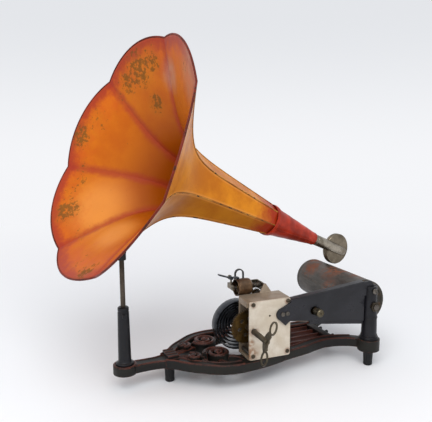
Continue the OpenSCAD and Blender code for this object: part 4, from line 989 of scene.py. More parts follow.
class Recipe:
    """A geometry node tree with named inputs, run on a carrier and made a plain mesh."""

    def __init__(self, title: str) -> None:
        """Starts a tree with a geometry in, a geometry out and a finish to wear.

        Args:
            title: The tree's name.
        """
        self.tree = bpy.data.node_groups.new(title, "GeometryNodeTree")
        for way in ("INPUT", "OUTPUT"):
            self.tree.interface.new_socket("Geometry", in_out=way,
                                           socket_type="NodeSocketGeometry")
        self.wires = Wiring(self.tree)
        self.inlet = self.tree.nodes.new("NodeGroupInput")
        self.keys: dict[str, str] = {}
        self.carrier = self.wires.read(self.inlet, "Geometry")
        self.finish, = self.sizes("Finish", kind="NodeSocketMaterial")

    def sizes(self, *names: str, kind: str = "NodeSocketFloat") -> list[Signal]:
        """Adds named inputs.

        Args:
            *names: The inputs' names.
            kind: Their socket's class name.

        Returns:
            The signals that carry their values into the tree.
        """
        for name in names:
            made = self.tree.interface.new_socket(name, in_out="INPUT", socket_type=kind)
            self.keys[name] = made.identifier
        return [self.wires.read(self.inlet, name) for name in names]

    def close(self, geometry: Value) -> "Recipe":
        """Ends the tree: real meshes, wearing the finish.

        Args:
            geometry: What comes out.

        Returns:
            The recipe itself.
        """
        real = self.wires.add("GeometryNodeRealizeInstances", {0: geometry})
        worn = self.wires.add("GeometryNodeSetMaterial", {"Geometry": real,
                                                          "Material": self.finish})
        self.wires.add("NodeGroupOutput", {0: worn})
        return self

    def run(self, name: str, finish: Finish, carrier: Mesh | None = None,
            sharp: float = 35.0, **values: Value) -> Object:
        """Runs the tree once and keeps its result as a plain mesh.

        Args:
            name: The new piece's name.
            finish: What it wears.
            carrier: The mesh that the tree reads, where it reads one.
            sharp: Angle in degrees above which an edge stays sharp.
            **values: The named inputs, with _ for a space.

        Returns:
            The new object, at the origin.
        """
        title = name + "_carrier"
        holder = stand(title, carrier or bpy.data.meshes.new(title))
        live = holder.modifiers.new("recipe", "NODES")
        live.node_group = self.tree
        live[self.keys["Finish"]] = finish.material()
        for key, value in values.items():
            live[self.keys[key.replace("_", " ")]] = value
        graph = bpy.context.evaluated_depsgraph_get()
        mesh = bpy.data.meshes.new_from_object(holder.evaluated_get(graph),
                                               preserve_all_data_layers=True, depsgraph=graph)
        mesh.name = name
        holder.modifiers.remove(live)
        bpy.data.objects.remove(holder)
        smooth(mesh, sharp)
        return stand(name, mesh)


def line_mesh(name: str, runs: Sequence[Line], place: Matrix, ring: bool = False) -> Mesh:
    """Makes a mesh of bare lines that a recipe lays beads along.

    Args:
        name: The mesh's name.
        runs: Lines of points; each is X, Y, Z and the bead's radius there.
        place: The lines' frame, in millimetres.
        ring: Join each line's end to its start.

    Returns:
        The mesh, with the radius stored as girth in metres.
    """
    points, edges, girths = [], [], []
    for run in runs:
        first = len(points)
        points += [place @ Vector(p[:3]) * MM for p in run]
        girths += [p[3] * MM for p in run]
        edges += [(i, i + 1) for i in range(first, len(points) - 1)]
        if ring:
            edges.append((len(points) - 1, first))
    mesh = bpy.data.meshes.new(name)
    mesh.from_pydata(points, edges, [])
    mesh.attributes.new("girth", "FLOAT", "POINT").data.foreach_set("value", girths)
    return mesh


def spot_mesh(name: str, spots: Sequence[tuple[Matrix, float]]) -> Mesh:
    """Makes a mesh of bare points that a recipe sets copies on.

    Args:
        name: The mesh's name.
        spots: Each copy's place in millimetres, and its size.

    Returns:
        The mesh, with each copy's turn and size stored on its point.
    """
    mesh = bpy.data.meshes.new(name)
    mesh.from_pydata([place.translation * MM for place, _ in spots], [], [])
    aim = mesh.attributes.new("aim", "FLOAT_VECTOR", "POINT")
    aim.data.foreach_set("vector", [a for place, _ in spots for a in place.to_euler()])
    size = mesh.attributes.new("size", "FLOAT", "POINT")
    size.data.foreach_set("value", [s for _, s in spots])
    return mesh


def bead_recipe() -> Recipe:
    """Wires round beads along lines, for rims, seams and cast relief.

    Returns:
        The recipe.
    """
    made = Recipe("beads_along_lines")
    w = made.wires
    sides, = made.sizes("Sides", kind="NodeSocketInt")
    curve = w.add("GeometryNodeMeshToCurve", {0: made.carrier})
    girth = w.add("GeometryNodeInputNamedAttribute", {"Name": "girth"})
    ring = w.add("GeometryNodeCurvePrimitiveCircle", {"Resolution": sides, "Radius": 1.0})
    return made.close(w.add("GeometryNodeCurveToMesh", {
        "Curve": curve, "Profile Curve": ring, "Scale": girth, "Fill Caps": True}))


def copy_recipe() -> Recipe:
    """Wires turned copies of one pattern piece, one on each point.

    Returns:
        The recipe.
    """
    made = Recipe("copies_on_points")
    w = made.wires
    pattern, = made.sizes("Pattern", kind="NodeSocketObject")
    piece = w.get("GeometryNodeObjectInfo", {0: pattern}, "Geometry")
    aim = w.add("GeometryNodeInputNamedAttribute", {"Name": "aim"}, data_type="FLOAT_VECTOR")
    size = w.add("GeometryNodeInputNamedAttribute", {"Name": "size"})
    return made.close(w.add("GeometryNodeInstanceOnPoints", {
        "Points": made.carrier, "Instance": piece, "Rotation": aim, "Scale": size}))


class Workshop:
    """Hands finished pieces to the frame, and dresses copies of the frame's own nodes."""

    def __init__(self, nodes: dict, record: dict) -> None:
        """Reads which body and which slot each node belongs to.

        Args:
            nodes: The frame's node objects by name.
            record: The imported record.
        """
        self.nodes = nodes
        self.body = {node: body for body, members in record["behaviour"]["bodies"].items()
                     for node in members}
        self.slot = {part["node"]: part["material_slot"] for part in record["subparts"]}
        self.beads = bead_recipe()
        self.copies = copy_recipe()

    def give(self, piece: Object, finish: Finish | None, *nodes: str, near: str = "") -> None:
        """Finishes a piece and puts it on its body.

        Args:
            piece: The new piece.
            finish: What it wears, or None where it wears it already.
            *nodes: The frame's nodes that it stands for.
            near: A node on the same body, for a piece that stands for none.
        """
        if finish:
            piece.data.materials.clear()
            piece.data.materials.append(finish.material())
        guide = nodes[0] if nodes else near
        if nodes:
            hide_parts(*nodes)
        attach(piece, self.body[guide])
        LOG.info("%s: %d faces on %s", piece.name, len(piece.data.polygons), self.body[guide])

    def dress(self, node: str, finish: Finish, round_off: float = 0.2, segments: int = 2,
              sharp: float = 24.0, trim: tuple[Point, Point] | None = None) -> None:
        """Dresses a finer copy of a node: its flats whole and its edges rounded.

        Args:
            node: The frame's node.
            finish: What the copy wears.
            round_off: Width of the rounded edge in millimetres, or 0 for none.
            segments: Faces across that edge.
            sharp: Angle in degrees above which an edge stays sharp.
            trim: A point in millimetres and a direction; what lies past it is cut off.
        """
        name = node + "_dressed"
        mesh = self.nodes[node].data.copy()
        mesh.name = name
        work = bmesh.new()
        work.from_mesh(mesh)
        bmesh.ops.remove_doubles(work, verts=work.verts, dist=MERGE_M)
        bmesh.ops.dissolve_limit(work, angle_limit=math.radians(FLAT_DEG), verts=work.verts,
                                 edges=work.edges, use_dissolve_boundaries=False)
        if trim:
            cut = bmesh.ops.bisect_plane(
                work, geom=[*work.verts, *work.edges, *work.faces], dist=1e-7,
                plane_co=Vector(trim[0]) * MM, plane_no=trim[1], clear_outer=True)
            bmesh.ops.holes_fill(work, edges=[e for e in cut["geom_cut"]
                                              if isinstance(e, bmesh.types.BMEdge)])
        if round_off:
            work.normal_update()
            edges = [e for e in work.edges if e.is_manifold
                     and e.calc_face_angle(0.0) > math.radians(CORNER_DEG)]
            bmesh.ops.bevel(work, geom=edges, offset=round_off * MM, segments=segments,
                            profile=0.6, affect="EDGES", clamp_overlap=True)
        work.to_mesh(mesh)
        work.free()
        smooth(mesh, sharp)
        self.give(stand(name, mesh), finish, node)

    def spin(self, name: str, profile: Profile, place: Matrix, finish: Finish, node: str,
             steps: int = 72, round_off: float = 0.2) -> None:
        """Makes a turned piece from its section of radii and heights."""
        shape = revolve(rounded(profile, round_off), steps)
        self.give(lay(name, *shape, place), finish, node)

    def lay_beads(self, name: str, runs: Sequence[Line], place: Matrix, finish: Finish,
                  near: str, ring: bool = False, sides: int = 8) -> None:
        """Lays round beads along lines of X, Y, Z and radius, as one piece."""
        piece = self.beads.run(name, finish, line_mesh(name, runs, place, ring), Sides=sides)
        self.give(piece, None, near=near)

    def set_copies(self, name: str, pattern: Object,
                   spots: Sequence[tuple[Matrix, float]], finish: Finish, *nodes: str,
                   near: str = "") -> None:
        """Sets copies of a pattern as one piece, and puts the pattern away.

        Args:
            name: The piece's name.
            pattern: The piece to copy.
            spots: Each copy's place and size.
            finish: What the copies wear.
            *nodes: The nodes that they stand for.
            near: A node on the same body, for copies that stand for none.
        """
        piece = self.copies.run(name, finish, spot_mesh(name, spots), Pattern=pattern)
        bpy.data.objects.remove(pattern)
        self.give(piece, None, *nodes, near=near)


def pan_screw(head: float, high: float, shank: float, long: float) -> Object:
    """Makes the pattern of a slotted screw whose head rises along -Z from zero.

    Args:
        head: Radius of the head.
        high: Height of the head.
        shank: Radius of the shank.
        long: Length of the shank.

    Returns:
        The pattern piece.
    """
    steps = 32
    levels = [(shank, long), (shank, 0.02), (head, 0.0), (head, -high * 0.45),
              (head * 0.9, -high * 0.78), (head * 0.66, -high * 0.96)]
    points = [(r * math.cos(a), r * math.sin(a), z) for r, z in levels for a in angles(steps)]
    screw = lay("screw_pattern", points, skin_over(len(levels), steps))
    half_w, reach = 0.13 * head, 1.2 * head
    block = [(x * reach, y * half_w, z) for z in (-high * 1.4, -high * 0.55)
             for x, y in ((-1, -1), (1, -1), (1, 1), (-1, 1))]
    cutter = lay("slot_cutter", block, skin_over(2, 4))
    cut = screw.modifiers.new("slot", "BOOLEAN")
    cut.object, cut.operation, cut.solver = cutter, "DIFFERENCE", "EXACT"
    graph = bpy.context.evaluated_depsgraph_get()
    slotted = bpy.data.meshes.new_from_object(screw.evaluated_get(graph))
    screw.modifiers.clear()
    screw.data = slotted
    bpy.data.objects.remove(cutter)
    return screw


@dataclass
class SubAssembly:
    """A part of the object that builds its own pieces in a workshop."""

    shop: Workshop

    def dress(self, *plans: tuple) -> None:
        """Dresses nodes in turn; each plan is a node, a finish and its rounded edges."""
        for plan in plans:
            self.shop.dress(*plan)

    def build(self) -> None:
        """Builds the sub-assembly's pieces."""
        raise NotImplementedError


@dataclass
class Bell(SubAssembly):
    """The seven-petal bell: flat-faced gores that flare from a straight neck."""

    petals: int = 7
    mouth_r: float = 114.5
    neck_r: float = 16.2
    length: float = 190.0
    lip: float = 6.0
    bulge: float = 6.0
    bulge_l: float = 75.0
    sheet: float = 1.0
    neck_slope: float = 0.133
    flare: float = 1.47
    soft: float = 14.0
    phase: float = -2.8
    crowd: float = 1.4
    across: int = 21
    rows: int = 52
    rim_bead: float = 0.95
    ridge: float = 0.6

    @property
    def panel(self) -> float:
        """Angle of one gore, in degrees."""
        return 360 / self.petals

    @property
    def flare_from(self) -> float:
        """Distance from the notches at which the flare blends into the neck."""
        return (self.mouth_r - self.neck_r - self.neck_slope * self.length) / self.flare

    def seam_r(self, t: float) -> float:
        """Returns the radius of a seam at the distance t from the notches."""
        return (self.neck_r + self.neck_slope * (self.length - t) + self.flare * self.soft
                * math.log(1 + math.exp((self.flare_from - t) / self.soft)))

    def skin(self, k: int, a: float, t: float, out: float = 0.0) -> Point:
        """Finds a point of a gore's outer skin.

        Args:
            k: The gore's number from 0.
            a: Angle from the gore's first seam, in degrees.
            t: Distance from the notches along the axis.
            out: Millimetres out from the skin.

        Returns:
            The point in the horn's frame.
        """
        half = math.radians(self.panel / 2)
        fade = max(0.0, 1 - (t - self.lip_at(a)) / self.bulge_l) ** 2
        r = (self.seam_r(t) * math.cos(half) / math.cos(math.radians(a) - half) + out
             + self.bulge * self.bow(a) * fade)
        phi = math.radians(self.phase + k * self.panel + a)
        return (t, r * math.sin(phi), r * math.cos(phi))

    def bow(self, a: float) -> float:
        """Returns the rim's rise across a gore: 0 at its seams and 1 in its middle."""
        return max(0.0, 1 - (2 * a / self.panel - 1) ** 2)

    def lip_at(self, a: float) -> float:
        """Returns how far along the axis the rim stands at an angle inside a gore."""
        return -self.lip * self.bow(a)

    def recipe(self) -> Recipe:
        """Wires the bell: one gore, shaped by the rule that skin() follows, set round.

        Returns:
            The recipe.
        """
        made = Recipe("bell_of_gores")
        w = made.wires
        mouth, neck, length, lip, sheet = made.sizes("Mouth radius", "Neck radius", "Length",
                                                     "Lip", "Sheet")
        slope, flare, soft, phase, crowd = made.sizes("Neck slope", "Flare slope", "Softness",
                                                      "Phase", "Crowding")
        bulge, bulge_l = made.sizes("Bulge", "Bulge length")
        petals, across, rows = made.sizes("Petals", "Across", "Rows", kind="NodeSocketInt")
        layers = (rows + 1.0) * 2.0
        grid = w.add("GeometryNodeMeshGrid", {"Size X": 1.0, "Size Y": 1.0,
                                              "Vertices X": across, "Vertices Y": layers})
        spot = w.add("ShaderNodeSeparateXYZ", {0: w.add("GeometryNodeInputPosition")})
        row = w.maths("ROUND", (w.read(spot, "Y") + 0.5) * (layers - 1.0))
        middle = rows + 0.5
        inside = w.maths("GREATER_THAN", row, middle)
        level = ((abs(row - middle) - 0.5) / rows).held
        panel = 2 * math.pi / petals
        half = panel / 2.0
        share = (w.read(spot, "X") + 0.5).held
        a = share * panel
        x = abs(share * 2.0 - 1.0)
        bow = (1.0 - x * x).held
        rim = bow * lip * -1.0
        run = (length - rim) * level ** crowd
        t = rim + run
        start = (mouth - neck - slope * length) / flare
        power = w.maths("POWER", math.e, (start - t) / soft)
        bend = w.maths("LOGARITHM", power + 1.0, math.e)
        seam_r = neck + slope * (length - t) + bend * (flare * soft)
        flat = w.maths("COSINE", half) / w.maths("COSINE", a - half)
        steep = slope + flare * power / (power + 1.0)
        lean = w.maths("SQRT", 1.0 + steep * steep)
        pinch = w.maths("GREATER_THAN", level, 0.9999)
        depth = inside * (1.0 - pinch) + pinch * 0.5
        crown = bulge * bow * (1.0 - run / bulge_l).held ** 2.0
        r = seam_r * flat + crown - depth * sheet * lean
        phi = a + phase
        where = w.add("ShaderNodeCombineXYZ", {0: t, 1: r * w.maths("SINE", phi),
                                               2: r * w.maths("COSINE", phi)})
        to_seam = seam_r * w.maths("SINE", half - abs(a - half))
        shape: Value = grid
        for key, value in (("inside", inside), ("seam", to_seam / MM), ("along", t / MM),
                           ("rim", run / MM)):
            shape = w.add("GeometryNodeStoreNamedAttribute",
                          {"Geometry": shape, "Name": key, "Value": value})
        gore = w.add("GeometryNodeSetPosition", {"Geometry": shape, "Position": where})
        spots = w.add("GeometryNodeMeshLine", {"Count": petals, "Offset": (0, 0, 0)})
        about = w.add("ShaderNodeCombineXYZ",
                      {0: w.get("GeometryNodeInputIndex") * panel * -1.0})
        ring = w.add("GeometryNodeInstanceOnPoints", {"Points": spots, "Instance": gore,
                                                      "Rotation": about})
        real = w.add("GeometryNodeRealizeInstances", {0: ring})
        return made.close(w.add("GeometryNodeMergeByDistance", {"Geometry": real,
                                                                "Distance": MERGE_M}))

    def build(self) -> None:
        """Builds the bell with its rim wire and its outer seams."""
        bell = self.recipe().run(
            "bell_petals", COATS.bell, sharp=70, Mouth_radius=self.mouth_r * MM,
            Neck_radius=self.neck_r * MM, Length=self.length * MM, Lip=self.lip * MM,
            Bulge=self.bulge * MM, Bulge_length=self.bulge_l * MM, Sheet=self.sheet * MM,
            Neck_slope=self.neck_slope, Flare_slope=self.flare,
            Softness=self.soft * MM, Phase=math.radians(self.phase), Crowding=self.crowd,
            Petals=self.petals, Across=self.across, Rows=self.rows)
        bell.data.transform(Matrix.Scale(MM, 4) @ HERE.horn @ Matrix.Scale(1 / MM, 4))
        self.crease(bell.data)
        panels = [f"horn_panel_{k + 1}" for k in range(self.petals)]
        self.shop.give(bell, None, *panels)
        rim = [(*self.skin(k, a, self.lip_at(a), -0.45), self.rim_bead)
               for k in range(self.petals) for a in (self.panel * i / 24 for i in range(24))]
        self.shop.lay_beads("rim_wire", [rim], HERE.horn, COATS.rim_wire, panels[0],
                            ring=True, sides=10)
        stations = [0.6 + (self.length - 4.2) * (i / 40) ** 1.3 for i in range(41)]
        seams = [[(*self.skin(k, 0, t, 0.05), self.ridge) for t in stations]
                 for k in range(self.petals)]
        self.shop.lay_beads("seam_ridges", seams, HERE.horn, COATS.seam_ridge, panels[0])

    @staticmethod
    def crease(mesh: Mesh) -> None:
        """Turns the faces outwards and marks the seams and the rim as sharp edges.

        Args:
            mesh: The bell's mesh.
        """
        work = bmesh.new()
        work.from_mesh(mesh)
        bmesh.ops.recalc_face_normals(work, faces=work.faces)
        seam = work.verts.layers.float["seam"]
        for edge in work.edges:
            on_seam = all(abs(v[seam]) < 0.02 for v in edge.verts)
            folded = edge.is_manifold and edge.calc_face_angle(0.0) > math.radians(60)
            edge.smooth = not on_seam and not folded
        for face in work.faces:
            face.smooth = True
        work.to_mesh(mesh)
        work.free()


@dataclass
class NeckCone(SubAssembly):
    """The red cone between the bell and the sound tube, and the ring that joins them."""

    start: float = 190.05
    end: float = 260.0
    wide_r: float = 16.2
    small_r: float = 7.0
    spigot_r: float = 5.4
    spigot_l: float = 10.0
    wall: float = 1.4
    seam_at: float = 62.0

    def build(self) -> None:
        """Turns the cone, its rolled joint and its soldered seam."""
        start, wide, place = self.start, self.wide_r, HERE.horn @ turn("Y", 90)
        stretch = self.end - start
        slope = (wide - self.small_r) / stretch
        body = [(wide + 0.1, start)]
        for i in range(1, 13):
            t = stretch * i / 12
            body.append((wide - slope * t + 0.12 * math.sin(i * 2.2), start + t))
        body += [(self.small_r + 0.35, self.end - 0.9), (self.small_r + 0.3, self.end),
                 (self.spigot_r, self.end), (self.spigot_r, self.end + self.spigot_l),
                 (self.spigot_r - self.wall, self.end + self.spigot_l),
                 (self.spigot_r - self.wall, self.end), (wide - 2.5, start)]
        self.shop.spin("neck_cone", body, place, COATS.cone, "horn_cone", 80, 0.3)
        neck = Bell(self.shop).seam_r(start - 3)
        ring = [(neck + 0.15, start - 3), (neck + 0.55, start - 3), (neck + 0.75, start - 1.6),
                (wide + 0.95, start - 0.4), (wide + 1.3, start + 0.3),
                (wide + 0.95, start + 1.0), (wide + 0.7, start + 3), (wide + 0.15, start + 3),
                (wide + 0.15, start)]
        self.shop.spin("joint_ring", ring, place, COATS.cone, "horn_ring", 80, 0.25)
        a = math.radians(self.seam_at)
        seam = []
        for t in (3.4 + (stretch - 5) * i / 10 for i in range(11)):
            r = wide - slope * t
            seam.append((start + t, -r * math.sin(a), -r * math.cos(a), 0.5))
        self.shop.lay_beads("cone_seam", [seam], HERE.horn, COATS.cone, "horn_cone")
        self.shop.dress("horn_bracket", COATS.seam_ridge, 0.35)


@dataclass
class SoundBox(SubAssembly):
    """The turning sound box: case, sound tube, gasket, mica, clamp ring and stylus."""

    case_r: float = 18.0
    back: float = -1.4
    depth: float = 6.0
    floor: float = 1.6
    bezel_r: float = 15.5
    tube_r: float = 6.2
    tube_from: float = 260.3
    tube_cut: float = 284.1
    tube_tail: float = 315.5

    def case(self) -> None:
        """Turns the case with its rolled rim and a shallow ring in its back."""
        r, low, top = self.case_r, self.back, self.back + self.depth
        profile = [(3.2, low), (r - 3.1, low), (r - 2.7, low + 0.25), (r - 2.1, low + 0.25),
                   (r - 1.7, low), (r - 0.9, low), (r, low + 0.9), (r, low + 2.2),
                   (r - 0.35, low + 2.5), (r - 0.35, low + 3.2), (r, low + 3.5),
                   (r, top - 0.9), (r - 0.9, top), (self.bezel_r, top),
                   (self.bezel_r, low + self.floor), (3.2, low + self.floor)]
        self.shop.spin("sound_case", profile, HERE.box, COATS.nickel, "sound_box", 96, 0.22)

    def tube(self) -> None:
        """Lofts the sound tube: round to the case, then half round across its back."""
        steps, r = 40, self.tube_r
        end_r = r - 0.6
        turned = [(self.tube_from + t, r - cut) for t, cut in (
            (0, 0.35), (0.4, 0), (3.4, 0), (3.7, 0.35), (4.6, 0.35), (4.9, 0))]
        turned.append((self.tube_cut, r))
        halved = [(self.tube_cut + 0.02, r)]
        bend = self.tube_tail - end_r
        for f in (i / 8 for i in range(1, 9)):
            halved.append((self.tube_cut + (bend - self.tube_cut) * f, r - 0.6 * f))
        for a in (math.radians(90 * i / 8) for i in range(1, 9)):
            halved.append((bend + end_r * math.sin(a), max(end_r * math.cos(a), 0.02)))
        points = [(t, r * math.cos(a), r * math.sin(a)) for t, r in turned
                  for a in angles(steps)]
        for t, r in halved:
            widest = math.sqrt(max(r * r - self.back * self.back, 0.0))
            for a in angles(steps):
                y, z = r * math.cos(a), r * math.sin(a)
                if y > self.back:
                    y, z = self.back, math.copysign(min(abs(z), widest), z)
                points.append((t, y, z))
        self.shop.give(lay("sound_arm", points, skin_over(len(turned + halved), steps),
                           HERE.horn, sharp=40), COATS.tube, "sound_tube")

    def build(self) -> None:
        """Builds the sound box's pieces."""
        self.case()
        self.tube()
        self.dress(("box_gasket", COATS.gasket, 0.25), ("diaphragm", COATS.mica, 0.0),
                   ("clamp_ring", COATS.nickel, 0.3), ("stylus", COATS.jewel, 0.15))


@dataclass
class HornStand(SubAssembly):
    """The socket, the steel rod, its screw, and the fork and pin that the horn tilts on."""

    socket_low: float = 25.5
    socket_h: float = 57.5
    low_r: float = 6.3
    top_r: float = 5.3
    rod_r: float = 2.35
    rod_top: float = 135.4
    bore_l: float = 12.0

    def build(self) -> None:
        """Turns the socket and the rod, and dresses the fittings."""
        x, y = HERE.rod
        top, high, low = self.socket_h, self.top_r, self.low_r
        socket = [(self.rod_r + 0.05, self.bore_l), (self.rod_r + 0.05, top),
                  (high - 0.9, top), (high, top - 0.8), (high + 0.05, top - 3.4),
                  (high - 0.25, top - 3.8), (high - 0.2, top - 4.6), (high + 0.15, top - 5.0),
                  (low - 0.05, 4.6), (low + 0.5, 3.2), (low + 2.2, 2.2), (low + 2.2, 0),
                  (3.2, 0), (3.2, -4.5), (0, -4.5), (0, self.bore_l)]
        self.shop.spin("socket", socket, shift(x, y, self.socket_low), COATS.socket,
                       "horn_socket", 56, 0.35)
        foot = self.socket_low + self.bore_l
        rod = [(0, foot), (self.rod_r, foot), (self.rod_r, self.rod_top), (0, self.rod_top)]
        self.shop.spin("rod", rod, shift(x, y, 0), COATS.rod, "support_rod", 32, 0.3)
        self.dress(("swivel_fork", COATS.black_steel, 0.25), ("tilt_pin", COATS.steel, 0.25),
                   ("rod_screw", COATS.socket, 0.2))


@dataclass
class LyreCasting(SubAssembly):
    """The open lyre with its scrolls, raised beads, strings, knobs and fluted feet."""

    belly: float = 86.5
    band: float = 9.5
    frame_top: float = 8.6
    scroll_top: float = 12.0
    stem_top: float = 8.1
    leaf_top: float = 7.6
    string_pitch: float = 11.6
    strings: int = 4
    bar_u: float = 174.5
    rail_w: float = 7.0
    pad: tuple[float, float] = (203.12, 50.667)
    foot_r: tuple[float, float] = (4.7, 5.4)
    flutes: int = 12

    def frame_line(self) -> list[list[float]]:
        """Draws the middle of the lyre's outer band, from the neck to the post's pad.

        Returns:
            The line's points, as U, V and width.
        """
        half, w = self.belly / 2, self.band
        neck = [[-4, 5, w], [5, 11.5, w], [14, 21.5, w]]
        bowed = [[u, half - v, w + more] for u, v, more in (
            (26, 12.5, 0), (38, 4.3, 0), (52, 0, 0), (68, 0.2, 0), (84, 1.8, 0), (98, 4.8, 0),
            (110, 8, 0), (123, 10.5, 0.5), (137, 13.3, 1.6), (150, 17, 1.6), (163, 19.3, 1.2),
            (176, 17.5, 1), (186, 14, 1), (195, 9, 1))]
        return smooth_line(neck + bowed + [[self.pad[0], self.pad[1] - 8, w + 1]], 4)

    @staticmethod
    def beside(line: Line, off: float, z: float, girth: float,
               keep: Callable[[float, float], bool] = lambda u, v: True) -> list[list[Bead]]:
        """Draws bead lines that run beside a band's middle line.

        Args:
            line: The middle line, as U, V and width.
            off: Millimetres in from the band's edge; negative for its other edge.
            z: Height of the bead's middle.
            girth: Radius of the bead.
            keep: Says which points to keep.

        Returns:
            One line of points for each stretch that is kept.
        """
        runs: list[list[Bead]] = [[]]
        for i, (u, v, w) in enumerate(line):
            a, b = line[max(i - 1, 0)], line[min(i + 1, len(line) - 1)]
            du, dv = b[0] - a[0], b[1] - a[1]
            side = math.copysign(w / 2 - abs(off), off) / math.hypot(du, dv)
            spot = (u - dv * side, v + du * side)
            if keep(*spot):
                runs[-1].append((*spot, z, girth))
            elif runs[-1]:
                runs.append([])
        return [run for run in runs if len(run) > 2]

    @staticmethod
    def scroll(at: tuple[float, float], radii: tuple[float, float], start: float,
               sweep: float, z: float, girth: float) -> list[Bead]:
        """Draws a bead line that winds inwards about a point and gets thinner.

        Args:
            at: Middle of the scroll.
            radii: Radius where it starts and where it ends.
            start: Angle where it starts, in degrees.
            sweep: Angle that it turns through.
            z: Height of the bead's middle.
            girth: Radius of the bead at the start.

        Returns:
            The line's points.
        """
        line = []
        for f in (i / 60 for i in range(61)):
            r, a = radii[0] + (radii[1] - radii[0]) * f, math.radians(start + sweep * f)
            line.append((at[0] + r * math.cos(a), at[1] + r * math.sin(a), z,
                         girth * (1 - 0.25 * f)))
        return line

    def half_relief(self, side: int) -> list[list[Bead]]:
        """Draws the beads of one half: two on each band, one on each scroll and stem.

        Args:
            side: 1 for the far half and -1 for the near one.

        Returns:
            The bead lines.
        """
        def clear(u: float, v: float) -> bool:
            """Says whether the motor's foot leaves a point free."""
            return not (62 < u < 116 and v < -11)
        runs = []
        band = [[u, v * side, w] for u, v, w in self.frame_line()]
        for off in (1.15, -1.15):
            runs += self.beside(band, off, self.frame_top + 0.05, 1.0,
                                lambda u, v: clear(u, v) and u < 196)
        for line in (self.scroll((44, 17.5), (12.4, 3.2), 190, 640, self.scroll_top - 0.1, 1.4),
                     self.scroll((20, 15), (7, 2.2), -100, 460, self.scroll_top - 0.4, 1.1)):
            runs.append([(u, v * side, z, r) for u, v, z, r in line])
        stems = ([[0, 3, 6], [10, 6, 6], [20, 8, 5.4], [32, 13, 5]],
                 [[54, 22, 5], [64, 27, 5], [74, 26, 5], [86, 21, 5], [108, 17.5, 5]])
        leaves = ([[30, 20, 6], [27, 26, 7], [26, 31, 4]],
                  [[42, 28, 6], [44, 35, 8], [50, 41, 5]],
                  [[64, 27, 4], [68, 34, 5], [76, 40, 4]])
        for shapes, top, offs in ((stems, self.stem_top, (1.2, -1.2)),
                                  (leaves, self.leaf_top, (2.4, -2.4, 1.0))):
            for points in shapes:
                line = [[u, v * side, w] for u, v, w in smooth_line(points, 5)]
                for off in offs:
                    runs += self.beside(line, off, top, 0.8, clear)
        return runs

    def relief(self) -> None:
        """Lays the raised beads of both halves, of the neck and of its pad."""
        runs = self.half_relief(1) + self.half_relief(-1)
        neck = smooth_line([[-34, 0, 13.5], [-26, 0, 12.5], [-14, 0, 13], [-6, 0, 17]], 5)
        for off in (1.2, -1.2):
            runs += self.beside(neck, off, 7.4, 0.9)
        for v in (-8.37, -2.79, 2.79, 8.37):
            runs.append([(u, v, z, 0.8) for u, z in ((-4, 11.7), (1.5, 11.9), (7, 11.7))])
        runs.append([(-45 + 9.9 * math.cos(a), 9.9 * math.sin(a), 8.45, 0.9)
                     for a in [*angles(48), 0.0]])
        self.shop.lay_beads("cast_relief", runs, HERE.lyre, COATS.iron_bead, "lyre_base")

    def bosses(self) -> None:
        """Sets a domed eye in each scroll."""
        dome = [(0, 1.5), (1.2, 1.35), (2.1, 0.9), (2.6, 0.2), (2.6, -0.6), (0, -0.6)]
        spots = [(HERE.lyre @ shift(u, v * side, z), size) for side in (1, -1)
                 for u, v, z, size in ((44, 17.5, 12.6, 0.75), (20, 15, 12.3, 0.6))]
        self.shop.set_copies("scroll_eyes", lay("eye_pattern", *revolve(dome, 24)), spots,
                             COATS.iron_bead, near="lyre_base")

    def string_bars(self) -> None:
        """Rounds the strings and sets a turned knob at the end of each."""
        knob = [(0, 5.0), (1.0, 4.9), (1.75, 4.2), (1.9, 3.3), (1.5, 2.4), (1.1, 2.0),
                (1.4, 1.4), (1.4, -1.0), (0, -1.0)]
        u, middle = self.bar_u + self.rail_w / 2, (self.strings - 1) / 2
        spots = [(HERE.lyre @ along_x(u, (i - middle) * self.string_pitch, 6.8), 1.0)
                 for i in range(self.strings)]
        self.shop.set_copies("string_knobs", lay("knob_pattern", *revolve(knob, 24)), spots,
                             COATS.black_steel, near="lyre_base")
        self.shop.dress("lyre_strings", COATS.strings, 1.1, 3)

    def feet(self) -> None:
        """Makes one fluted foot under a turned collar and sets it three times."""
        low, top = self.foot_r
        steps = self.flutes * 8
        levels = [(low - 0.8, 0.0, 0.0), (low, 0.8, 0.0), (low + 0.05, 2.6, 0.0),
                  (low - 0.1, 3.0, 0.35), (top - 0.35, 12.8, 0.45), (top - 0.3, 13.2, 0.0),
                  (top, 13.5, 0.0), (top, 14.6, 0.0), (top - 0.5, 15.0, 0.0),
                  (top - 0.5, 15.4, 0.0), (top, 15.8, 0.0), (top, 17.0, 0.0),
                  (2.5, 17.0, 0.0), (2.5, 21.0, 0.0)]
        points = []
        for r, z, cut in levels:
            for a in angles(steps):
                deep = r - cut * (0.5 - 0.5 * math.cos(a * self.flutes)) ** 1.6
                points.append((deep * math.cos(a), deep * math.sin(a), z))
        pattern = lay("foot_pattern", points, skin_over(len(levels), steps))
        spots = [(shift(x, y, 0), 1.0) for x, y in ((0, 0), HERE.post, HERE.far_foot)]
        self.shop.set_copies("fluted_feet", pattern, spots, COATS.black_steel, "feet")

    def build(self) -> None:
        """Builds the base's pieces."""
        self.shop.dress("lyre_base", COATS.iron, 0.7, 3)
        self.relief()
        self.bosses()
        self.string_bars()
        self.feet()


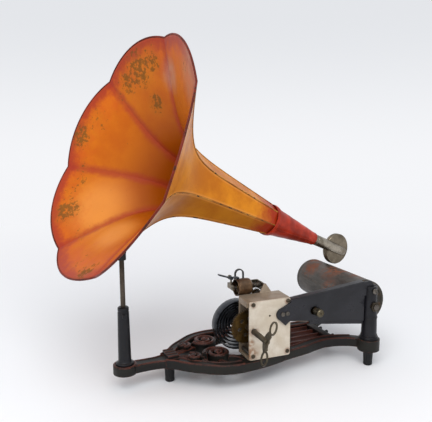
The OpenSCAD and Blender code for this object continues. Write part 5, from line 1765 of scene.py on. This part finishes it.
@dataclass
class Mandrel(SubAssembly):
    """The tapered drum with its belt rim and cap, on a fixed spindle through the post."""

    rim_y: float = -33.1
    rim_w: float = 4.6
    length: float = 110.0
    large_r: float = 23.2
    small_r: float = 20.8
    belt_r: float = 21.0
    wall: float = 1.2
    hub_r: float = 6.5
    bore: float = 3.05
    cap_h: float = 4.6
    lap: tuple[float, float] = (196.0, 199.6)

    def radius(self, y: float) -> float:
        """Returns the drum's outer radius at a station along Y."""
        return self.large_r + (self.small_r - self.large_r) * (y - self.rim_y) / self.length

    @staticmethod
    def at(y: float) -> Matrix:
        """Returns the place of a piece that is turned on the spindle from a station on."""
        return along_y(HERE.spindle[0], y, HERE.spindle[1])

    def shell(self) -> None:
        """Turns the sheet drum and lays the lap seam along it."""
        start, end = self.rim_y + self.rim_w, self.rim_y + self.length
        long = end - start
        first, last = self.radius(start), self.radius(end)
        profile = [(first, 0), (first - 0.02, 1.0)]
        for z in (1.0 + (long - 7.0) * i / 12 for i in range(1, 12)):
            profile.append((first + (last - first) * z / long, z))
        profile += [(last + 0.12, long - 5.6), (last - 0.28, long - 5.2),
                    (last - 0.28, long - 4.6), (last + 0.08, long - 4.2), (last, long - 1.5),
                    (last - 0.9, long), (last - self.wall, long), (first - self.wall, 0)]
        self.shop.spin("drum_shell", profile, self.at(start), COATS.mandrel,
                       "mandrel_shell", 112, 0.15)
        runs = []
        for a in map(math.radians, self.lap):
            runs.append([((self.radius(start + z) - 0.16) * math.cos(a),
                          (self.radius(start + z) - 0.16) * math.sin(a), z, 0.34)
                         for z in (0.6 + (long - 7.4) * i / 6 for i in range(7))])
        self.shop.lay_beads("drum_lap_seam", runs, self.at(start), COATS.mandrel_end,
                            "mandrel_shell", sides=6)

    def rim(self) -> None:
        """Turns the grooved rim with its ringed face and hub."""
        big, groove, w = self.large_r, self.belt_r, self.rim_w
        shell_r = self.radius(self.rim_y + w)
        inner = shell_r - self.wall - 0.1
        profile = [(self.bore, 0), (self.hub_r - 1.0, 0), (self.hub_r, 0.5),
                   (self.hub_r + 0.4, 0.7), (9.6, 0.25)]
        for r in (11.0, 15.5, 19.0):
            profile += [(r - 1.3, 0.0), (r - 0.6, 0.05), (r - 0.25, 0.6), (r + 0.25, 0.6),
                        (r + 0.6, 0.05)]
        profile += [(big - 1.6, 0), (big - 0.5, 0), (big, 0.5), (big, 1.1),
                    (groove + 0.5, 1.15), (groove, 1.3), (groove, w - 1.15),
                    (groove + 0.4, w - 1.0), (shell_r, w - 0.95), (shell_r, w - 0.02),
                    (inner, w - 0.02), (inner, w + 2.9), (groove - 2.4, w + 2.9),
                    (groove - 2.4, 2.4), (self.hub_r, 2.4), (self.hub_r, 14), (self.bore, 14)]
        self.shop.spin("drum_rim", profile, self.at(self.rim_y), COATS.mandrel_end,
                       "mandrel_rim", 112, 0.12)

    def cap(self) -> None:
        """Turns the bearing cap in the drum's free end."""
        r, hub = self.small_r - self.wall - 0.05, self.hub_r
        profile = [(self.bore, -8), (hub, -8), (hub, 0), (r, 0), (r, 2.2), (r - 0.8, 2.0),
                   (r - 1.6, 1.4), (12.5, 1.5), (11.8, 2.0), (10.2, 2.0), (9.5, 1.5),
                   (hub + 1.2, 1.7), (hub, 2.4), (hub - 0.3, self.cap_h),
                   (self.bore, self.cap_h)]
        self.shop.spin("drum_cap", profile, self.at(self.rim_y + self.length - self.cap_h),
                       COATS.mandrel_end, "mandrel_cap", 96, 0.2)

    def post_rings(self) -> None:
        """Lays the turned rings round the post's foot and waist."""
        x, y = HERE.post
        runs = [[(x + r * math.cos(a), y + r * math.sin(a), z, girth) for a in angles(40)]
                for z, r, girth in ((31.6, 8.65, 0.7), (34.0, 8.05, 0.5), (52.0, 7.62, 0.45),
                                    (53.4, 7.6, 0.45))]
        self.shop.lay_beads("post_rings", runs, UNMOVED, COATS.socket, "rear_post", ring=True)

    def build(self) -> None:
        """Builds the drum and dresses its post, spindle and nuts."""
        self.shell()
        self.rim()
        self.cap()
        self.shop.dress("rear_post", COATS.socket, 0.35, 3)
        self.post_rings()
        self.dress(("spindle", COATS.steel, 0.4), ("spindle_nuts", COATS.screw, 0.3))


@dataclass
class BeltDrive(SubAssembly):
    """The leather belt, its pulleys, the guide wheel and the enamelled arm plate."""

    lobe_screws: Spots = ((102.4, 69.4, 25), (107.3, 69.6, 70))
    lobe_y: float = -44.0
    clamp: Point = (205.2, -48.5, 81.6)
    corner: tuple[Point, Point] = ((204.6, -42.0, 91.0), (0.8, 0.0, 0.6))

    def build(self) -> None:
        """Builds the drive's pieces."""
        self.shop.dress("drive_belt", COATS.belt, 0.3)
        self.shop.dress("arm_plate", COATS.arm, 0.45, 3, trim=self.corner)
        self.dress(("guide_wheel", COATS.brass, 0.3), ("guide_stud", COATS.key, 0.3),
                   ("drive_pulley", COATS.brass, 0.25))
        spots = [(along_y(x, self.lobe_y, z) @ turn("Z", spin), 1.0)
                 for x, z, spin in self.lobe_screws]
        spots.append((along_y(*self.clamp) @ turn("Z", 60), 1.32))
        self.shop.set_copies("arm_screw_set", pan_screw(2.2, 1.4, 1.2, 3.5), spots,
                             COATS.bright_screw, "arm_screws")


@dataclass
class MotorCase(SubAssembly):
    """The motor's plates, pillars and screws, with the winding key in front."""

    corners: Spots = ((4.1, 4.1), (41.2, 4.1), (4.1, 55.8), (41.2, 55.8))
    foot_screws: Spots = ((80.6, -23.4), (98.6, -23.4))
    foot_top: float = 27.6
    pivots: Spots = ((89.22, 69.132), (105.01, 66.546))

    def build(self) -> None:
        """Builds the case's pieces."""
        x, y, z = HERE.plate
        self.dress(("front_plate", COATS.cream, 0.3), ("motor_frame", COATS.case, 0.3),
                   ("pillars", COATS.steel, 0.2))
        spots = [(along_y(x + dx, y, z + dz) @ turn("Z", 40 + 31 * i), 1.0)
                 for i, (dx, dz) in enumerate(self.corners)]
        self.shop.set_copies("plate_screw_set", pan_screw(2.1, 1.0, 1.2, 7.5), spots,
                             COATS.screw, "plate_screws")
        feet = [(shift(px, py, self.foot_top) @ turn("X", 180) @ turn("Z", 30), 1.0)
                for px, py in self.foot_screws]
        self.shop.set_copies("frame_screw_set", pan_screw(3.0, 1.6, 1.6, 9.0), feet,
                             COATS.screw, "frame_screws")
        pip = [(0, -0.55), (0.6, -0.5), (0.85, -0.2), (0.9, 0.6), (0, 0.6)]
        pivots = [(along_y(px, y + 0.15, pz), 1.0) for px, pz in self.pivots]
        self.shop.set_copies("plate_pivots", lay("pivot_pattern", *revolve(pip, 20)), pivots,
                             COATS.screw, near="front_plate")
        self.dress(("winding_key", COATS.key, 0.42, 3), ("winding_arbor", COATS.steel, 0.3))


@dataclass
class Mainspring(SubAssembly):
    """The open mainspring: a steel strip that winds out from the arbor to its post."""

    turns: int = 8
    thick: float = 0.8
    wide: float = 11.0
    inner: float = 3.35
    outer: float = 26.2
    end: float = -32.0
    drop: tuple[float, float] = (-1.2, -4.4)
    middle_y: float = -2.9
    steps: int = 30

    def spot(self, f: float) -> Point:
        """Finds the strip's middle at a share of its length.

        Args:
            f: The share, from 0 at the arbor to 1 at the post.

        Returns:
            The place in metres, with the machine's Z as Y.
        """
        r = self.inner + (self.outer - self.inner) * f
        a = math.radians(self.end - 360 * self.turns * (1 - f))
        return ((HERE.arbor[0] + self.drop[0] * f + r * math.cos(a)) * MM,
                (HERE.arbor[1] + self.drop[1] * f + r * math.sin(a)) * MM, 0.0)

    def recipe(self) -> Recipe:
        """Wires a flat section that is swept along a line.

        Returns:
            The recipe.
        """
        made = Recipe("strip_along_line")
        w = made.wires
        thick, wide = made.sizes("Thickness", "Width")
        curve = w.add("GeometryNodeMeshToCurve", {0: made.carrier})
        level = w.add("GeometryNodeSetCurveNormal", {"Curve": curve}, mode="Z_UP")
        section = w.add("GeometryNodeCurvePrimitiveQuadrilateral",
                        {"Width": thick, "Height": wide})
        softened = w.add("GeometryNodeFilletCurve", {"Curve": section, "Radius": thick * 0.3,
                                                     "Count": 2}, mode="POLY")
        return made.close(w.add("GeometryNodeCurveToMesh", {
            "Curve": level, "Profile Curve": softened, "Fill Caps": True}))

    def build(self) -> None:
        """Sweeps the spring and stands it upright behind the great wheel."""
        count = self.turns * self.steps
        carrier = bpy.data.meshes.new("spring_line")
        carrier.from_pydata([self.spot(i / count) for i in range(count + 1)],
                            [(i, i + 1) for i in range(count)], [])
        spring = self.recipe().run("wound_mainspring", COATS.blue_steel, carrier, sharp=40,
                                   Thickness=self.thick * MM, Width=self.wide * MM)
        spring.data.transform(shift(0, self.middle_y * MM, 0) @ turn("X", 90))
        self.shop.give(spring, None, "mainspring")
        self.shop.dress("spring_post", COATS.steel, 0.25)


@dataclass
class GearTrain(SubAssembly):
    """The brass wheels and steel arbors from the great wheel to the drive pulley."""

    wheels: tuple[str, ...] = ("great_wheel", "second_wheel", "governor_wheel")
    arbors: tuple[str, ...] = ("second_arbor", "third_arbor", "drive_arbor", "ratchet_wheel",
                               "click", "click_spring")

    def build(self) -> None:
        """Dresses every wheel in brass and every arbor in steel."""
        self.dress(*((node, COATS.brass, 0.08, 1, 20) for node in self.wheels),
                   *((node, COATS.steel, 0.06, 1, 20) for node in self.arbors))


@dataclass
class Governor(SubAssembly):
    """The governor: spindle and worm, turned cup, weights, bracket, brake and strap."""

    cup_r: float = 8.6
    cup_l: float = 17.0
    wall: float = 0.9
    bore: float = 1.35

    def build(self) -> None:
        """Turns the cup, open to the left and domed by steps, and dresses the rest."""
        r, end, wall, bore = self.cup_r, self.cup_l, self.wall, self.bore
        profile = [(bore, end), (r * 0.5, end), (r * 0.56, end - 0.4), (r * 0.6, end - 0.9),
                   (r * 0.78, end - 1.1), (r * 0.82, end - 1.5), (r * 0.93, end - 2.4),
                   (r * 0.96, end - 3.0), (r * 0.985, end - 4.2), (r - 0.25, end - 5.0),
                   (r, end - 5.4), (r, 1.9), (r - 0.35, 1.5), (r - 0.35, 1.1), (r, 0.8),
                   (r, 0.0), (r - wall, 0.0), (r - wall, end - 5.4),
                   (r * 0.96 - wall, end - 3.75), (r * 0.8 - wall, end - 2.0),
                   (r * 0.5 - wall, end - 1.6), (bore, end - 1.6)]
        self.shop.spin("turned_cup", profile, along_x(*HERE.governor), COATS.bronze,
                       "governor_cup", 72, 0.12)
        self.dress(("governor_spindle", COATS.steel, 0.0, 2, 30),
                   ("governor_weights", COATS.brass, 0.1, 1),
                   ("governor_bracket", COATS.nickel, 0.2),
                   ("brake_lever", COATS.blue_steel, 0.2), ("strap_loop", COATS.strap, 0.3))


@dataclass(frozen=True)
class StudioPaper(Finish):
    """White paper under and behind the object: it keeps the shadow and fades upwards."""

    near: str = "#f0f1f3"
    far: str = "#fbfbfd"
    low: str = "#f5f6f9"
    high: str = "#e4e6ea"
    bounce: float = 0.8

    @staticmethod
    def away(w: Wiring) -> Signal:
        """Returns the distance along the floor from the object, in metres."""
        x, y = (w.get("ShaderNodeSeparateXYZ", {0: w.place()}, key) for key in "XY")
        return w.maths("SQRT", x * x + y * y)

    def wire(self, w: Wiring) -> Inputs:
        """Wires a plain diffuse floor.

        Args:
            w: The material's wiring.

        Returns:
            The shader's inputs, by name.
        """
        fibre = w.step(w.noise(900, 3), 0.2, 0.8, -0.02, 0.02)
        spread = (w.step(self.away(w), 0.2, 0.8) + fibre).held
        return {"Base Color": w.mix(spread, self.near, self.far), "Roughness": 0.9,
                "Specular IOR Level": 0.15}

    def surface(self, w: Wiring, shader: Node) -> Node:
        """Fades the floor into a wall whose colour doesn't need light.

        Args:
            w: The material's wiring.
            shader: The floor's shader.

        Returns:
            The mixed shader.
        """
        path = w.add("ShaderNodeLightPath")
        seen = w.read(path, "Is Camera Ray").over(w.read(path, "Is Glossy Ray"))
        height = w.get("ShaderNodeSeparateXYZ", {0: w.place()}, "Z")
        glow = w.add("ShaderNodeEmission", {
            "Color": w.mix(w.step(height, -0.1, 0.95), self.low, self.high),
            "Strength": w.step(seen, 0.0, 1.0, self.bounce, 1.0)})
        return w.add("ShaderNodeMixShader", {0: w.step(self.away(w), 0.28, 0.95),
                                             1: shader, 2: glow})


@dataclass
class Studio:
    """The floor and wall, the soft lamps, the world and the camera."""

    azimuth: float = -21.2
    elevation: float = 9.5
    roll: float = -0.3
    target: Point = (50.3, 0.0, 167.8)
    distance: float = 568.5
    lens: float = 48.32
    world: float = 0.75
    key: float = 15.0
    fill: float = 2.2
    floor_r: float = 2600.0
    curve_r: float = 900.0
    wall_h: float = 4200.0

    def axes(self) -> tuple[Vector, Vector, Vector]:
        """Works out where the camera looks.

        Returns:
            Its right, up and back directions.
        """
        a, e, r = (math.radians(v) for v in (self.azimuth, self.elevation, self.roll))
        back = Vector((math.sin(a) * math.cos(e), -math.cos(a) * math.cos(e), math.sin(e)))
        side = Vector((math.cos(a), math.sin(a), 0))
        top = back.cross(side)
        return (side * math.cos(r) + top * math.sin(r),
                top * math.cos(r) - side * math.sin(r), back)

    def paper(self) -> None:
        """Lays the paper: a flat floor that curves up into a far wall all round."""
        profile = [(0.0, 0.0), (600.0, 0.0), (self.floor_r, 0.0)]
        for a in (math.radians(90 * i / 12) for i in range(1, 13)):
            profile.append((self.floor_r + self.curve_r * math.sin(a),
                            self.curve_r - self.curve_r * math.cos(a)))
        profile.append((self.floor_r + self.curve_r, self.wall_h))
        sheet = lay("studio_paper", *revolve(profile, 96, closed=False), sharp=60)
        sheet.data.materials.append(StudioPaper("studio_paper").material())

    def lamp(self, name: str, spot: Point, aim: Point, size: tuple[float, float],
             power: float, colour: str) -> None:
        """Hangs one soft lamp.

        Args:
            name: The lamp's name.
            spot: Where it hangs, in millimetres.
            aim: What it points at, in millimetres.
            size: Its width and height in metres.
            power: Its power in watts.
            colour: Its colour code.
        """
        data = bpy.data.lights.new(name, "AREA")
        data.shape, data.size, data.size_y = "RECTANGLE", *size
        data.energy, data.color = power, tone(colour)[:3]
        here, there = Vector(spot) * MM, Vector(aim) * MM
        facing = (here - there).to_track_quat("Z", "Y").to_matrix().to_4x4()
        stand(name, data).matrix_world = Matrix.Translation(here) @ facing

    def camera(self) -> None:
        """Stands the camera where the photograph was taken from."""
        data = bpy.data.cameras.new("studio_camera")
        data.lens, data.sensor_width, data.sensor_fit = self.lens, 36.0, "HORIZONTAL"
        data.clip_start, data.clip_end = 0.02, 30.0
        right, up, back = self.axes()
        place = Matrix((right, up, back)).transposed().to_4x4()
        place.translation = (Vector(self.target) + back * self.distance) * MM
        bpy.context.scene.camera = stand("studio_camera", data)
        bpy.context.scene.camera.matrix_world = place

    def build(self) -> None:
        """Sets the paper, the lamps, the world and the camera."""
        self.paper()
        self.lamp("overhead_softbox", (-300, -850, 1200), (70, 0, 60), (1.2, 1.0), self.key,
                  "#ffffff")
        self.lamp("left_fill", (-1250, -900, 700), (60, 0, 140), (1.4, 1.2), self.fill,
                  "#fbfbff")
        world = bpy.data.worlds.new("studio_world")
        bpy.context.scene.world = world
        world.use_nodes = True
        backdrop = world.node_tree.nodes["Background"]
        backdrop.inputs["Color"].default_value = tone("#f7f7f9")
        backdrop.inputs["Strength"].default_value = self.world
        bpy.context.scene.view_settings.view_transform = "Standard"
        self.camera()


def main() -> None:
    """Builds the whole object, sub-assembly by sub-assembly, and its studio."""
    logging.basicConfig(level=logging.INFO, format="%(name)s: %(message)s")
    shop = Workshop(frame["nodes"], frame["record"])
    for part in (Bell, NeckCone, SoundBox, HornStand, LyreCasting, Mandrel, BeltDrive,
                 MotorCase, Mainspring, GearTrain, Governor):
        LOG.info("building %s", part.__name__)
        part(shop).build()
    Studio().build()
    bpy.context.view_layer.update()


if __name__ == "__main__":
    main()
